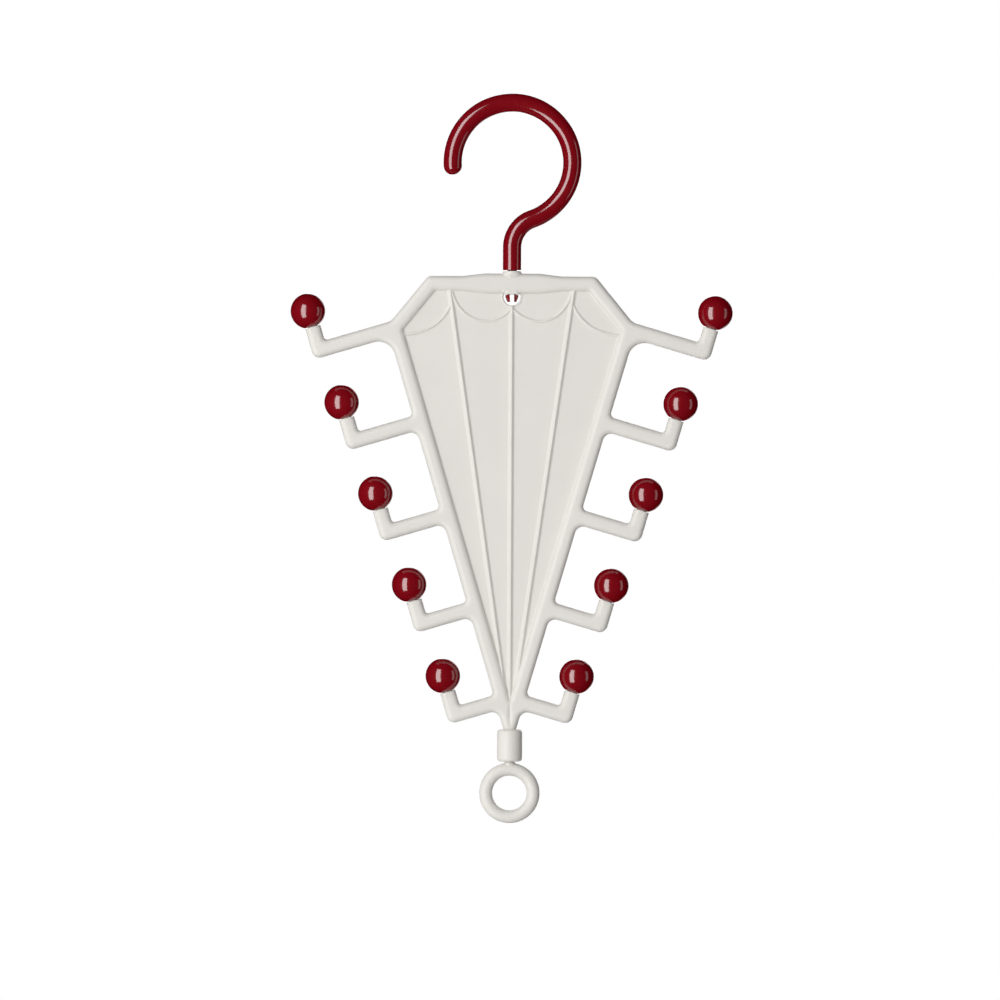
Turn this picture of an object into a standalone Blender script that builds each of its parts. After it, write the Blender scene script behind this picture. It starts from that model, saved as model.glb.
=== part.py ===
# Rotating hanger for small accessories, in the shape of a closed umbrella.
# A round hook swivels in the top rail of a flat one-piece body. Ten bent arms stand out from
# the body's sides and carry push-on ball caps, and a link ring swivels in the barrel below.
# Metres, +Z up, front towards -Y. The origin is the inner crown of the hook, where it rests
# on a rail, and the swivel axis is the Z axis.

import math

import bmesh
import bpy
from mathutils import Matrix, Vector

# Clearances
FIT_GAP = 0.0003
CUT_OVERRUN = 0.002

# Hook
ROD_DIAMETER = 0.0077
LOOP_RADIUS = 0.0246
REVERSE_BEND_RADIUS = 0.0124
TIP_DROP = 0.0014
STRAIGHT_LENGTH = 0.0095

# Split snap heads of the hook and of the ring
SHANK_DIAMETER = 0.0038
SNAP_HEAD_DIAMETER = 0.0055
SNAP_TIP_DIAMETER = 0.0037
SNAP_HEAD_LENGTH = 0.0030
SNAP_LEAD_LENGTH = 0.0008
SLOT_WIDTH = 0.0017
SLOT_DEPTH = 0.0060

# Outline of the body
TOP_WIDTH = 0.0688
SHOULDER_WIDTH = 0.1028
NECK_WIDTH = 0.0052
SHOULDER_DROP = 0.0208
SIDE_HEIGHT = 0.1654
TOP_CORNER_RADIUS = 0.0033
CROWN_RISE = 0.0011
CROWN_WIDTH = 0.0230
CROWN_FOOT_WIDTH = 0.0410
CROWN_BLEND_RADIUS = 0.0150

# Rim, panel and the raised lines on it
RIM_WIDTH = 0.0060
RIM_THICKNESS = 0.0056
RIM_EDGE_RADIUS = 0.0023
RIM_INNER_RADIUS = 0.0016
PANEL_THICKNESS = 0.0020
LINE_WIDTH = 0.0015
LINE_HEIGHT = 0.0006
RIB_FOOT_WIDTH = 0.0513
SCALLOP_DEPTH = 0.0182

# Swivel seat in the top rail
COLLAR_DIAMETER = 0.0074
COLLAR_HEIGHT = 0.0010
COLLAR_FLARE = 0.0008
BORE_LENGTH = 0.0095
WINDOW_DIAMETER = 0.0070
WINDOW_CLEARANCE = 0.0013

# Arms
ARMS_PER_SIDE = 5
ARM_WIDTH = 0.0064
FIRST_ARM_DROP = 0.0017
LAST_ARM_MARGIN = 0.0113
FIRST_ARM_REACH = 0.0293
LAST_ARM_REACH = 0.0177
STUB_HEIGHT = 0.01665
ELBOW_OUTER_RADIUS = 0.0033
ELBOW_INNER_RADIUS = 0.0014
UPPER_FILLET_RADIUS = 0.0020
LOWER_FILLET_RADIUS = 0.0035
FIRST_UPPER_FILLET_RADIUS = 0.0055
FIRST_LOWER_FILLET_RADIUS = 0.0070

# Ball caps and the spigots they push onto
BALL_DIAMETER = 0.01455
SPIGOT_DIAMETER = 0.0042
SPIGOT_LENGTH = 0.0065

# Barrel
BARREL_DIAMETER = 0.0103
BARREL_LENGTH = 0.0133
BARREL_EDGE_RADIUS = 0.0016
THROAT_LENGTH = 0.0045
CHAMBER_CLEARANCE = 0.0004

# Link ring
RING_HOLE_DIAMETER = 0.0142
RING_TUBE_DIAMETER = 0.0053
STEM_DIAMETER = 0.0046
STEM_LENGTH = 0.0002

# Facets of the round shapes
ARC_STEP = math.radians(22.5)
PATH_STEP = math.radians(11.0)
ROD_FACETS = 14
ROUND_FACETS = 20
BALL_FACETS = 18
BALL_RINGS = 9
RING_STEPS = 30
BEVEL_STEPS = 3
LINE_FACETS = 8
SCALLOP_STEPS = 8
SMOOTH_ANGLE = math.radians(40.0)
# Digits kept of a sine or cosine, so that a quarter turn gives an exact zero
DIGITS = 12

# Control points of the scallops, from the middle outwards: share of the rib foot's distance
# from the middle, and share of the scallop depth below the rail's lower edge
INNER_SCALLOP_SHARES = ((0.015, 0.42), (0.36, 0.92), (0.88, 0.70), (0.98, -0.08))
# Share of the way from the rib foot to the panel's edge, and share of the scallop depth
OUTER_SCALLOP_SHARES = ((-0.05, 0.27), (0.10, 0.66), (0.38, 1.0), (1.0, 1.0))
# Share of a line's width by which the side ribs stop beside the middle at their lower end
RIB_END_SHARE = 0.6

# Largest share of a wall that its rounded edge may take
WALL_SHARE = 0.46

# Heights along the swivel axis, from the top down
ROD_RADIUS = ROD_DIAMETER / 2
LOOP_CENTRE_Z = ROD_RADIUS - LOOP_RADIUS
CENTRES_APART = LOOP_RADIUS + REVERSE_BEND_RADIUS
BEND_CENTRE_Z = LOOP_CENTRE_Z - math.sqrt(CENTRES_APART ** 2 - REVERSE_BEND_RADIUS ** 2)
HOOK_SHOULDER_Z = BEND_CENTRE_Z - STRAIGHT_LENGTH
COLLAR_TOP_Z = HOOK_SHOULDER_Z - FIT_GAP
CROWN_Z = COLLAR_TOP_Z - COLLAR_HEIGHT
RAIL_Z = CROWN_Z - CROWN_RISE
RAIL_LOWER_Z = RAIL_Z - RIM_WIDTH
SHOULDER_Z = RAIL_Z - SHOULDER_DROP
NECK_Z = SHOULDER_Z - SIDE_HEIGHT
BARREL_BOTTOM_Z = NECK_Z - BARREL_LENGTH
LEDGE_Z = COLLAR_TOP_Z - BORE_LENGTH
WINDOW_BOTTOM_Z = LEDGE_Z - FIT_GAP - SNAP_HEAD_LENGTH - WINDOW_CLEARANCE
RING_TOP_Z = -FIT_GAP - STEM_LENGTH

# Rounding of the rim's and arms' edges, held below half of the thinnest wall
ROUNDING = min(RIM_EDGE_RADIUS, WALL_SHARE * min(RIM_THICKNESS, NECK_WIDTH, ARM_WIDTH))

# Slope of the sides, and what follows from it
SIDE_RUN = (SHOULDER_WIDTH - NECK_WIDTH) / 2
SIDE_LENGTH = math.hypot(SIDE_RUN, SIDE_HEIGHT)
SIDE_LEAN = math.atan2(SIDE_RUN, SIDE_HEIGHT)
APEX_Z = NECK_Z - NECK_WIDTH / 2 * SIDE_HEIGHT / SIDE_RUN
DOWN_SIDE = Vector((-math.sin(SIDE_LEAN), -math.cos(SIDE_LEAN)))
ALONG_ARM = Vector((math.cos(SIDE_LEAN), -math.sin(SIDE_LEAN)))
SHOULDER = Vector((SHOULDER_WIDTH / 2, SHOULDER_Z))

# Ball seat: a flat as wide as the arm, so that the ball closes on the stub's end
BALL_RADIUS = BALL_DIAMETER / 2
SEAT_RADIUS = ARM_WIDTH / 2
SEAT_DROP = math.sqrt(BALL_RADIUS ** 2 - SEAT_RADIUS ** 2)
STUB_RISE = STUB_HEIGHT - SEAT_DROP - FIT_GAP


def clear_scene():
    """Remove every object that the file starts with."""
    for item in list(bpy.data.objects):
        bpy.data.objects.remove(item, do_unlink=True)


def plastic(name, colour, roughness, coat):
    """Moulded plastic of one colour."""
    material = bpy.data.materials.new(name)
    material.use_nodes = True
    shader = material.node_tree.nodes["Principled BSDF"]
    shader.inputs["Base Color"].default_value = colour
    shader.inputs["Metallic"].default_value = 0.0
    shader.inputs["Roughness"].default_value = roughness
    shader.inputs["Coat Weight"].default_value = coat
    material.diffuse_color = colour
    return material


def red_plastic(name):
    """Glossy wine red, as on the hook and the caps."""
    return plastic(name, (0.20, 0.0015, 0.006, 1.0), 0.16, 0.4)


def ivory_plastic(name):
    """Satin warm white, as on the body and the ring."""
    return plastic(name, (0.72, 0.70, 0.66, 1.0), 0.38, 0.0)


def add_object(name, shape, material=None, parent=None, matrix=None):
    """Turn a bmesh into a smooth-shaded object with its faces pointing out."""
    bmesh.ops.recalc_face_normals(shape, faces=shape.faces)
    mesh = bpy.data.meshes.new(name)
    shape.to_mesh(mesh)
    shape.free()
    item = bpy.data.objects.new(name, mesh)
    bpy.context.scene.collection.objects.link(item)
    if matrix is not None:
        item.matrix_world = matrix
    if parent is not None:
        item.parent = parent
        item.matrix_parent_inverse = parent.matrix_world.inverted()
    if material is not None:
        dress(item, material)
    return item


def dress(item, material):
    """Give an object its one material and its shading."""
    item.data.materials.clear()
    item.data.materials.append(material)
    item.data.shade_smooth()
    item.data.set_sharp_from_angle(angle=SMOOTH_ANGLE)


def combine(target, operands, operation, solver='EXACT'):
    """Unite objects with the target or cut them out of it, all at once, and remove them."""
    group = bpy.data.collections.new(operation.lower())
    bpy.context.scene.collection.children.link(group)
    for operand in operands:
        group.objects.link(operand)
    modifier = target.modifiers.new(name=operation.lower(), type='BOOLEAN')
    modifier.operation = operation
    modifier.solver = solver
    modifier.operand_type = 'COLLECTION'
    modifier.collection = group
    graph = bpy.context.evaluated_depsgraph_get()
    result = bpy.data.meshes.new_from_object(target.evaluated_get(graph))
    target.modifiers.remove(modifier)
    replaced = target.data
    target.data = result
    bpy.data.meshes.remove(replaced)
    for operand in operands:
        bpy.data.objects.remove(operand, do_unlink=True)
    bpy.data.collections.remove(group)


def in_front_plane(point, y=0.0):
    """Place a point of the front view, given as across and up, in space."""
    return Vector((point[0], y, point[1]))


def skin(rings, closed=False):
    """Cover rings of points with faces: a ring of one point is a pole, other ends get a cap."""
    shape = bmesh.new()
    loops = [[shape.verts.new(point) for point in ring] for ring in rings]
    pairs = list(zip(loops, loops[1:]))
    if closed:
        pairs.append((loops[-1], loops[0]))
    for upper, lower in pairs:
        count = max(len(upper), len(lower))
        for index in range(count):
            corners = [upper[index % len(upper)], upper[(index + 1) % len(upper)]]
            corners += [lower[(index + 1) % len(lower)], lower[index % len(lower)]]
            shape.faces.new(list(dict.fromkeys(corners)))
    if not closed:
        for loop in (loops[0], loops[-1]):
            if len(loop) > 1:
                shape.faces.new(loop)
    return shape


def circle(centre, across, upward, width, height, facets):
    """Points of an ellipse about a centre, in the plane of two unit directions."""
    points = []
    for index in range(facets):
        angle = 2 * math.pi * index / facets
        cosine = round(math.cos(angle), DIGITS)
        sine = round(math.sin(angle), DIGITS)
        points.append(centre + across * (width * cosine) + upward * (height * sine))
    return points


def turned(profile, facets):
    """Turn a profile of radius and height pairs about Z. A radius of zero is a pole."""
    rings = []
    for radius, height in profile:
        centre = Vector((0.0, 0.0, height))
        if radius == 0:
            rings.append([centre])
        else:
            rings.append(circle(centre, Vector((1, 0, 0)), Vector((0, 1, 0)), radius, radius, facets))
    return skin(rings)


def swept(stations, facets):
    """Sweep an ellipse in the front plane. A station is a point, a heading, a width and a height."""
    rings = []
    for point, heading, width, height in stations:
        if width == 0:
            rings.append([in_front_plane(point)])
        else:
            across = in_front_plane((heading[1], -heading[0]))
            rings.append(circle(in_front_plane(point), across, Vector((0, 1, 0)), width, height, facets))
    return skin(rings)


def box(width, depth, bottom, top):
    """Upright box about the Z axis."""
    half_width = width / 2
    half_depth = depth / 2
    rings = []
    for height in (top, bottom):
        rings.append([
            Vector((-half_width, -half_depth, height)),
            Vector((half_width, -half_depth, height)),
            Vector((half_width, half_depth, height)),
            Vector((-half_width, half_depth, height)),
        ])
    return skin(rings)


def on_circle(centre, radius, angle):
    """Point of a circle in the front view."""
    return Vector((centre[0] + radius * math.cos(angle), centre[1] + radius * math.sin(angle)))


def rounded(corners):
    """Outline through corners given as point and radius, with each corner turned into an arc."""
    points = []
    for index, (corner, radius) in enumerate(corners):
        before = corners[index - 1][0] - corner
        after = corners[(index + 1) % len(corners)][0] - corner
        if radius == 0:
            points.append(corner)
            continue
        half_angle = before.angle(after) / 2
        reach = min(radius / math.tan(half_angle), before.length / 2, after.length / 2)
        limited = reach * math.tan(half_angle)
        start = corner + before.normalized() * reach
        bisector = (before.normalized() + after.normalized()).normalized()
        centre = corner + bisector * (limited / math.sin(half_angle))
        turn = math.pi - 2 * half_angle
        if before.cross(after) > 0:
            turn = -turn
        steps = max(1, math.ceil(abs(turn) / ARC_STEP))
        first = math.atan2(start[1] - centre[1], start[0] - centre[0])
        for step in range(steps + 1):
            points.append(on_circle(centre, limited, first + turn * step / steps))
    return points


def crossing(point_a, direction_a, point_b, direction_b):
    """Where two lines of the front view cross."""
    along = (point_b - point_a).cross(direction_b) / direction_a.cross(direction_b)
    return point_a + direction_a * along


def arm_root(index):
    """Where the centreline of an arm's bar leaves the body's side line."""
    share = index / (ARMS_PER_SIDE - 1)
    drop = FIRST_ARM_DROP + (SIDE_LENGTH - FIRST_ARM_DROP - LAST_ARM_MARGIN) * share
    return SHOULDER + DOWN_SIDE * drop


def arm_elbow(index):
    """Where the centrelines of an arm's bar and stub meet."""
    share = index / (ARMS_PER_SIDE - 1)
    reach = FIRST_ARM_REACH + (LAST_ARM_REACH - FIRST_ARM_REACH) * share
    return arm_root(index) + ALONG_ARM * reach


def ball_centre(index):
    """Centre of the ball cap on an arm of the right side."""
    return arm_elbow(index) - DOWN_SIDE * STUB_HEIGHT


def stub_end(index):
    """Middle of the end face of an arm's stub."""
    return arm_elbow(index) - DOWN_SIDE * STUB_RISE


def arm_corners(index):
    """Corners of one right arm, from above the bar round the stub to below the bar."""
    half = ARM_WIDTH / 2
    root = arm_root(index)
    elbow = arm_elbow(index)
    end = stub_end(index)
    above = -DOWN_SIDE * half
    outward = ALONG_ARM * half
    upper_radius = UPPER_FILLET_RADIUS
    lower_radius = LOWER_FILLET_RADIUS
    upper_root = root + above
    if index == 0:
        top_corner = Vector((TOP_WIDTH / 2, RAIL_Z))
        upper_root = crossing(top_corner, SHOULDER - top_corner, upper_root, ALONG_ARM)
        upper_radius = FIRST_UPPER_FILLET_RADIUS
        lower_radius = FIRST_LOWER_FILLET_RADIUS
    return [
        (upper_root, upper_radius),
        (elbow + above - outward, ELBOW_INNER_RADIUS),
        (end - outward, 0),
        (end + outward, 0),
        (elbow - above + outward, ELBOW_OUTER_RADIUS),
        (root - above, lower_radius),
    ]


def inner_corners(inset):
    """Corners of the body's plain outline, drawn in by a given distance, on the right side."""
    slope = math.atan2((SHOULDER_WIDTH - TOP_WIDTH) / 2, SHOULDER_DROP)
    top_shift = inset * math.tan((math.pi / 2 - slope) / 2)
    corner = Vector((TOP_WIDTH / 2 - top_shift, RAIL_Z - inset))
    inward = Vector((-math.cos(SIDE_LEAN), math.sin(SIDE_LEAN))) * inset
    down_slope = Vector((math.sin(slope), -math.cos(slope)))
    side_point = SHOULDER + inward
    shoulder = crossing(corner, down_slope, side_point, DOWN_SIDE)
    apex = Vector((0.0, APEX_Z + inset / math.sin(SIDE_LEAN)))
    return corner, shoulder, apex


def body_outline():
    """Outer boundary of the right half, from the middle of the rail down to the neck."""
    corners = [
        (Vector((0.0, CROWN_Z)), 0),
        (Vector((CROWN_WIDTH / 2, CROWN_Z)), CROWN_BLEND_RADIUS),
        (Vector((CROWN_FOOT_WIDTH / 2, RAIL_Z)), CROWN_BLEND_RADIUS),
        (Vector((TOP_WIDTH / 2, RAIL_Z)), TOP_CORNER_RADIUS),
    ]
    for index in range(ARMS_PER_SIDE):
        corners += arm_corners(index)
    buried_z = NECK_Z - ROUNDING - FIT_GAP
    corners += [
        (Vector((NECK_WIDTH / 2, NECK_Z)), 0),
        (Vector((NECK_WIDTH / 2, buried_z)), 0),
        (Vector((0.0, buried_z)), 0),
    ]
    return rounded(corners)


def opening_outline():
    """Inner boundary of the right half's rim, from the apex up to the middle of the rail."""
    corner, shoulder, apex = inner_corners(RIM_WIDTH)
    corners = [
        (apex, 0),
        (shoulder, RIM_INNER_RADIUS),
        (corner, RIM_INNER_RADIUS),
        (Vector((CROWN_FOOT_WIDTH / 2, RAIL_LOWER_Z)), CROWN_BLEND_RADIUS),
        (Vector((CROWN_WIDTH / 2, RAIL_LOWER_Z - CROWN_RISE)), CROWN_BLEND_RADIUS),
        (Vector((0.0, RAIL_LOWER_Z - CROWN_RISE)), 0),
    ]
    return rounded(corners)


def is_stub_end(first, second):
    """Whether an edge of the outline is the flat end of a stub."""
    middle = (first + second) / 2
    for index in range(ARMS_PER_SIDE):
        if (middle - stub_end(index)).length < FIT_GAP:
            return True
    return False


def plate_from_half(outline, thickness):
    """Flat plate from the right half's outline and its mirror image, joined at the middle."""
    shape = bmesh.new()
    half = thickness / 2
    sides = []
    for mirror in (1, -1):
        layers = []
        for y in (-half, half):
            if mirror == 1:
                layers.append([shape.verts.new(in_front_plane(point, y)) for point in outline])
            else:
                right_layer = sides[0][len(layers)]
                layers.append([
                    vertex if vertex.co.x == 0 else shape.verts.new((-vertex.co.x, y, vertex.co.z))
                    for vertex in right_layer
                ])
        sides.append(layers)
    edges = []
    for front, back in sides:
        shape.faces.new(front)
        shape.faces.new(back)
        for index, point in enumerate(outline):
            following = (index + 1) % len(outline)
            if point[0] == 0 and outline[following][0] == 0:
                continue
            shape.faces.new((front[index], front[following], back[following], back[index]))
            edges.append((point, outline[following], front[index], front[following]))
            edges.append((point, outline[following], back[index], back[following]))
    bmesh.ops.recalc_face_normals(shape, faces=shape.faces)
    return shape, edges


def rim_and_arms():
    """Rim with its ten arms: one rounded plate, open where the panel goes."""
    outline = body_outline() + opening_outline()
    shape, edges = plate_from_half(outline, RIM_THICKNESS)
    soft = []
    for first, second, start, end in edges:
        if not is_stub_end(first, second):
            soft.append(shape.edges.get((start, end)))
    bmesh.ops.bevel(
        shape,
        geom=soft,
        offset=ROUNDING,
        segments=BEVEL_STEPS,
        profile=0.5,
        affect='EDGES',
        clamp_overlap=False,
    )
    return shape


def panel():
    """Thin panel whose edge lies inside the rim."""
    corner, shoulder, apex = inner_corners(RIM_WIDTH / 2)
    top = Vector((0.0, corner[1]))
    return plate_from_half([top, corner, shoulder, apex], PANEL_THICKNESS)[0]


def raised_line(points):
    """Raised line along points of the front view, showing on both faces of the panel."""
    width = LINE_WIDTH / 2
    height = PANEL_THICKNESS / 2 + LINE_HEIGHT
    stations = []
    for index, point in enumerate(points):
        before = points[max(index - 1, 0)]
        after = points[min(index + 1, len(points) - 1)]
        stations.append((point, (after - before).normalized(), width, height))
    return swept(stations, LINE_FACETS)


def bezier(controls, steps):
    """Points of a cubic curve through its first and last control points."""
    points = []
    for step in range(steps + 1):
        t = step / steps
        s = 1 - t
        weights = (s ** 3, 3 * s * s * t, 3 * s * t * t, t ** 3)
        x = sum(weight * control[0] for weight, control in zip(weights, controls))
        z = sum(weight * control[1] for weight, control in zip(weights, controls))
        points.append(Vector((x, z)))
    return points


def panel_lines():
    """Paths of the raised lines: three ribs and four scallops along the umbrella's hem."""
    shoulder, apex = inner_corners(RIM_WIDTH)[1:]
    foot_x = RIB_FOOT_WIDTH / 2
    foot_z = RAIL_LOWER_Z + RIM_WIDTH / 4
    hem_z = RAIL_LOWER_Z
    edge_x = shoulder[0] + RIM_WIDTH / 4
    paths = [[Vector((0.0, WINDOW_BOTTOM_Z + WINDOW_DIAMETER / 2)), Vector((0.0, apex[1] - RIM_WIDTH))]]
    inner = [(foot_x * across, hem_z - SCALLOP_DEPTH * down) for across, down in INNER_SCALLOP_SHARES]
    outer = [
        (foot_x + (edge_x - foot_x) * across, hem_z - SCALLOP_DEPTH * down)
        for across, down in OUTER_SCALLOP_SHARES
    ]
    right = [
        [Vector((foot_x, foot_z)), Vector((LINE_WIDTH * RIB_END_SHARE, apex[1] - RIM_WIDTH / 2))],
        bezier(inner, SCALLOP_STEPS),
        bezier(outer, SCALLOP_STEPS),
    ]
    for path in right:
        paths.append(path)
        paths.append([Vector((-point[0], point[1])) for point in path])
    return paths


def swivel_boss():
    """Upright boss round the hook's bore: a round collar on a seat that is no deeper than the rail."""
    radius = COLLAR_DIAMETER / 2
    walled = SHANK_DIAMETER / 2 + 2 * FIT_GAP
    depth = min(radius, max(RIM_THICKNESS / 2 - FIT_GAP / 2, walled))
    across, back = Vector((1, 0, 0)), Vector((0, 1, 0))
    rings = []
    for height, half_width, half_depth in (
        (COLLAR_TOP_Z, radius, radius),
        (CROWN_Z + COLLAR_FLARE / 2, radius, radius),
        (CROWN_Z - COLLAR_FLARE / 2, radius + COLLAR_FLARE, (radius + depth) / 2),
        (RAIL_Z - COLLAR_FLARE, radius, depth),
        (LEDGE_Z, radius, depth),
    ):
        centre = Vector((0.0, 0.0, height))
        rings.append(circle(centre, across, back, half_width, half_depth, ROUND_FACETS))
    return skin(rings)


def barrel():
    """Round barrel at the foot of the body, rounded at both ends."""
    radius = BARREL_DIAMETER / 2
    profile = [(0, NECK_Z)]
    for step in range(BEVEL_STEPS + 1):
        angle = math.pi / 2 * step / BEVEL_STEPS
        inset = BARREL_EDGE_RADIUS * (1 - math.sin(angle))
        drop = BARREL_EDGE_RADIUS * (1 - math.cos(angle))
        profile.append((radius - inset, NECK_Z - drop))
    profile += [(ring[0], NECK_Z + BARREL_BOTTOM_Z - ring[1]) for ring in reversed(profile)]
    return turned(profile, ROUND_FACETS)


def bore_cutter():
    """Bore for the hook's shank."""
    radius = SHANK_DIAMETER / 2 + FIT_GAP
    top = COLLAR_TOP_Z + CUT_OVERRUN
    bottom = LEDGE_Z - CUT_OVERRUN
    return turned([(0, top), (radius, top), (radius, bottom), (0, bottom)], ROUND_FACETS)


def window_cutter():
    """Round window under the boss, in which the hook's snap head turns."""
    radius = WINDOW_DIAMETER / 2
    reach = RIM_THICKNESS / 2 + CUT_OVERRUN
    return turned([(0, reach), (radius, reach), (radius, -reach), (0, -reach)], ROUND_FACETS)


def barrel_cutter():
    """Throat and snap chamber for the ring's pin."""
    throat = SHANK_DIAMETER / 2 + FIT_GAP
    chamber = SNAP_HEAD_DIAMETER / 2 + CHAMBER_CLEARANCE
    ledge = BARREL_BOTTOM_Z + THROAT_LENGTH
    top = ledge + SNAP_HEAD_LENGTH + CHAMBER_CLEARANCE + FIT_GAP
    bottom = BARREL_BOTTOM_Z - CUT_OVERRUN
    return turned([
        (0, top),
        (chamber, top),
        (chamber, ledge),
        (throat, ledge),
        (throat, bottom),
        (0, bottom),
    ], ROUND_FACETS)


def spigot():
    """Round spigot on a stub's end, with its foot inside the stub."""
    radius = SPIGOT_DIAMETER / 2
    foot = -SPIGOT_DIAMETER
    return turned([(0, SPIGOT_LENGTH), (radius, SPIGOT_LENGTH), (radius, foot), (0, foot)], ROUND_FACETS)


def upright_at(point, side):
    """Place on the side's stubs, with the local Z axis along the stub."""
    place = Matrix.Translation(in_front_plane((side * point[0], point[1])))
    return place @ Matrix.Rotation(side * SIDE_LEAN, 4, 'Y')


def umbrella_body(material):
    """One-piece moulding: rim, arms, panel with its raised lines, swivel seat and barrel."""
    body = add_object("umbrella_body", rim_and_arms())
    added = [add_object("panel", panel())]
    for path in panel_lines():
        added.append(add_object("raised_line", raised_line(path)))
    combine(body, added, 'UNION', 'MANIFOLD')
    window_centre = Vector((0.0, 0.0, WINDOW_BOTTOM_Z + WINDOW_DIAMETER / 2))
    window_place = Matrix.Translation(window_centre) @ Matrix.Rotation(math.pi / 2, 4, 'X')
    window = add_object("window_cutter", window_cutter(), matrix=window_place)
    combine(body, [window], 'DIFFERENCE', 'MANIFOLD')
    added = [add_object("swivel_boss", swivel_boss()), add_object("barrel", barrel())]
    for side in (1, -1):
        for index in range(ARMS_PER_SIDE):
            place = upright_at(stub_end(index), side)
            added.append(add_object("spigot", spigot(), matrix=place))
    combine(body, added, 'UNION', 'MANIFOLD')
    cutters = [add_object("bore_cutter", bore_cutter()), add_object("barrel_cutter", barrel_cutter())]
    combine(body, cutters, 'DIFFERENCE', 'MANIFOLD')
    dress(body, material)
    return body


def hook_path():
    """Centreline of the hook as points and headings, from the open tip to the shoulder."""
    path = []
    start = math.pi + math.asin(TIP_DROP / LOOP_RADIUS)
    end = -math.acos(REVERSE_BEND_RADIUS / CENTRES_APART)
    steps = math.ceil((start - end) / PATH_STEP)
    for step in range(steps + 1):
        angle = start + (end - start) * step / steps
        heading = Vector((math.sin(angle), -math.cos(angle)))
        path.append((on_circle((0.0, LOOP_CENTRE_Z), LOOP_RADIUS, angle), heading))
    bend_centre = (REVERSE_BEND_RADIUS, BEND_CENTRE_Z)
    steps = math.ceil(-end / PATH_STEP)
    for step in range(1, steps + 1):
        angle = math.pi + end * (1 - step / steps)
        heading = Vector((-math.sin(angle), math.cos(angle)))
        path.append((on_circle(bend_centre, REVERSE_BEND_RADIUS, angle), heading))
    return path


def snap_profile(reach):
    """Radius and distance along the shank: shoulder, shank, barbed head and its tapered tip."""
    shank = SHANK_DIAMETER / 2
    head = SNAP_HEAD_DIAMETER / 2
    tip = SNAP_TIP_DIAMETER / 2
    return [
        (shank, 0),
        (shank, reach),
        (head, reach),
        (head, reach + SNAP_LEAD_LENGTH),
        (tip, reach + SNAP_HEAD_LENGTH),
    ]


def swivel_hook(material):
    """Round-rod hook with a reverse bend, ending below in a split snap head."""
    path = hook_path()
    first, heading = path[0]
    stations = [(first - heading * ROD_RADIUS, heading, 0, 0)]
    for step in range(1, BEVEL_STEPS + 1):
        angle = math.pi / 2 * step / (BEVEL_STEPS + 1)
        radius = ROD_RADIUS * math.sin(angle)
        stations.append((first - heading * (ROD_RADIUS * math.cos(angle)), heading, radius, radius))
    stations += [(point, direction, ROD_RADIUS, ROD_RADIUS) for point, direction in path]
    down = Vector((0.0, -1.0))
    shoulder = Vector((0.0, HOOK_SHOULDER_Z))
    stations.append((shoulder, down, ROD_RADIUS, ROD_RADIUS))
    for radius, distance in snap_profile(FIT_GAP + BORE_LENGTH + FIT_GAP):
        stations.append((shoulder + down * distance, down, radius, radius))
    hook = add_object("swivel_hook", swept(stations, ROD_FACETS))
    tip_z = LEDGE_Z - FIT_GAP - SNAP_HEAD_LENGTH
    slot = box(SLOT_WIDTH, SNAP_HEAD_DIAMETER + CUT_OVERRUN, tip_z - CUT_OVERRUN, tip_z + SLOT_DEPTH)
    combine(hook, [add_object("slot_cutter", slot)], 'DIFFERENCE')
    dress(hook, material)
    return hook


def ball_cap(name, material, body, index, side):
    """Ball with a flat seat and a blind socket below, pushed onto an arm's spigot."""
    socket_radius = SPIGOT_DIAMETER / 2 + FIT_GAP
    stub_top = -SEAT_DROP - FIT_GAP
    socket_top = stub_top + SPIGOT_LENGTH + FIT_GAP
    lowest = math.pi - math.asin(SEAT_RADIUS / BALL_RADIUS)
    profile = [(0, BALL_RADIUS)]
    for ring in range(1, BALL_RINGS + 1):
        angle = lowest * ring / BALL_RINGS
        profile.append((BALL_RADIUS * math.sin(angle), BALL_RADIUS * math.cos(angle)))
    profile += [(socket_radius, -SEAT_DROP), (socket_radius, socket_top), (0, socket_top)]
    place = upright_at(ball_centre(index), side)
    return add_object(name, turned(profile, BALL_FACETS), material, body, place)


def link_ring(material, body):
    """Ring with a short stem and a split snap pin that turns in the barrel."""
    mean_radius = (RING_HOLE_DIAMETER + RING_TUBE_DIAMETER) / 2
    tube_radius = RING_TUBE_DIAMETER / 2
    centre = (0.0, RING_TOP_Z - tube_radius - mean_radius)
    rings = []
    for step in range(RING_STEPS):
        angle = 2 * math.pi * step / RING_STEPS
        across = in_front_plane((math.cos(angle), math.sin(angle)))
        middle = in_front_plane(on_circle(centre, mean_radius, angle))
        rings.append(circle(middle, across, Vector((0, 1, 0)), tube_radius, tube_radius, ROD_FACETS))
    place = Matrix.Translation((0.0, 0.0, BARREL_BOTTOM_Z))
    ring = add_object("link_ring", skin(rings, closed=True), parent=body, matrix=place)
    stem = STEM_DIAMETER / 2
    foot = RING_TOP_Z - tube_radius
    snap = snap_profile(FIT_GAP + THROAT_LENGTH + FIT_GAP)
    profile = [(radius, distance - FIT_GAP) for radius, distance in reversed(snap)]
    profile = [(0, profile[0][1])] + profile + [(stem, -FIT_GAP), (stem, foot), (0, foot)]
    combine(ring, [add_object("pin", turned(profile, ROD_FACETS), matrix=place)], 'UNION')
    tip = profile[0][1]
    slot = box(SLOT_WIDTH, SNAP_HEAD_DIAMETER + CUT_OVERRUN, tip - SLOT_DEPTH, tip + CUT_OVERRUN)
    combine(ring, [add_object("slot_cutter", slot, matrix=place)], 'DIFFERENCE')
    dress(ring, material)
    return ring


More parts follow.
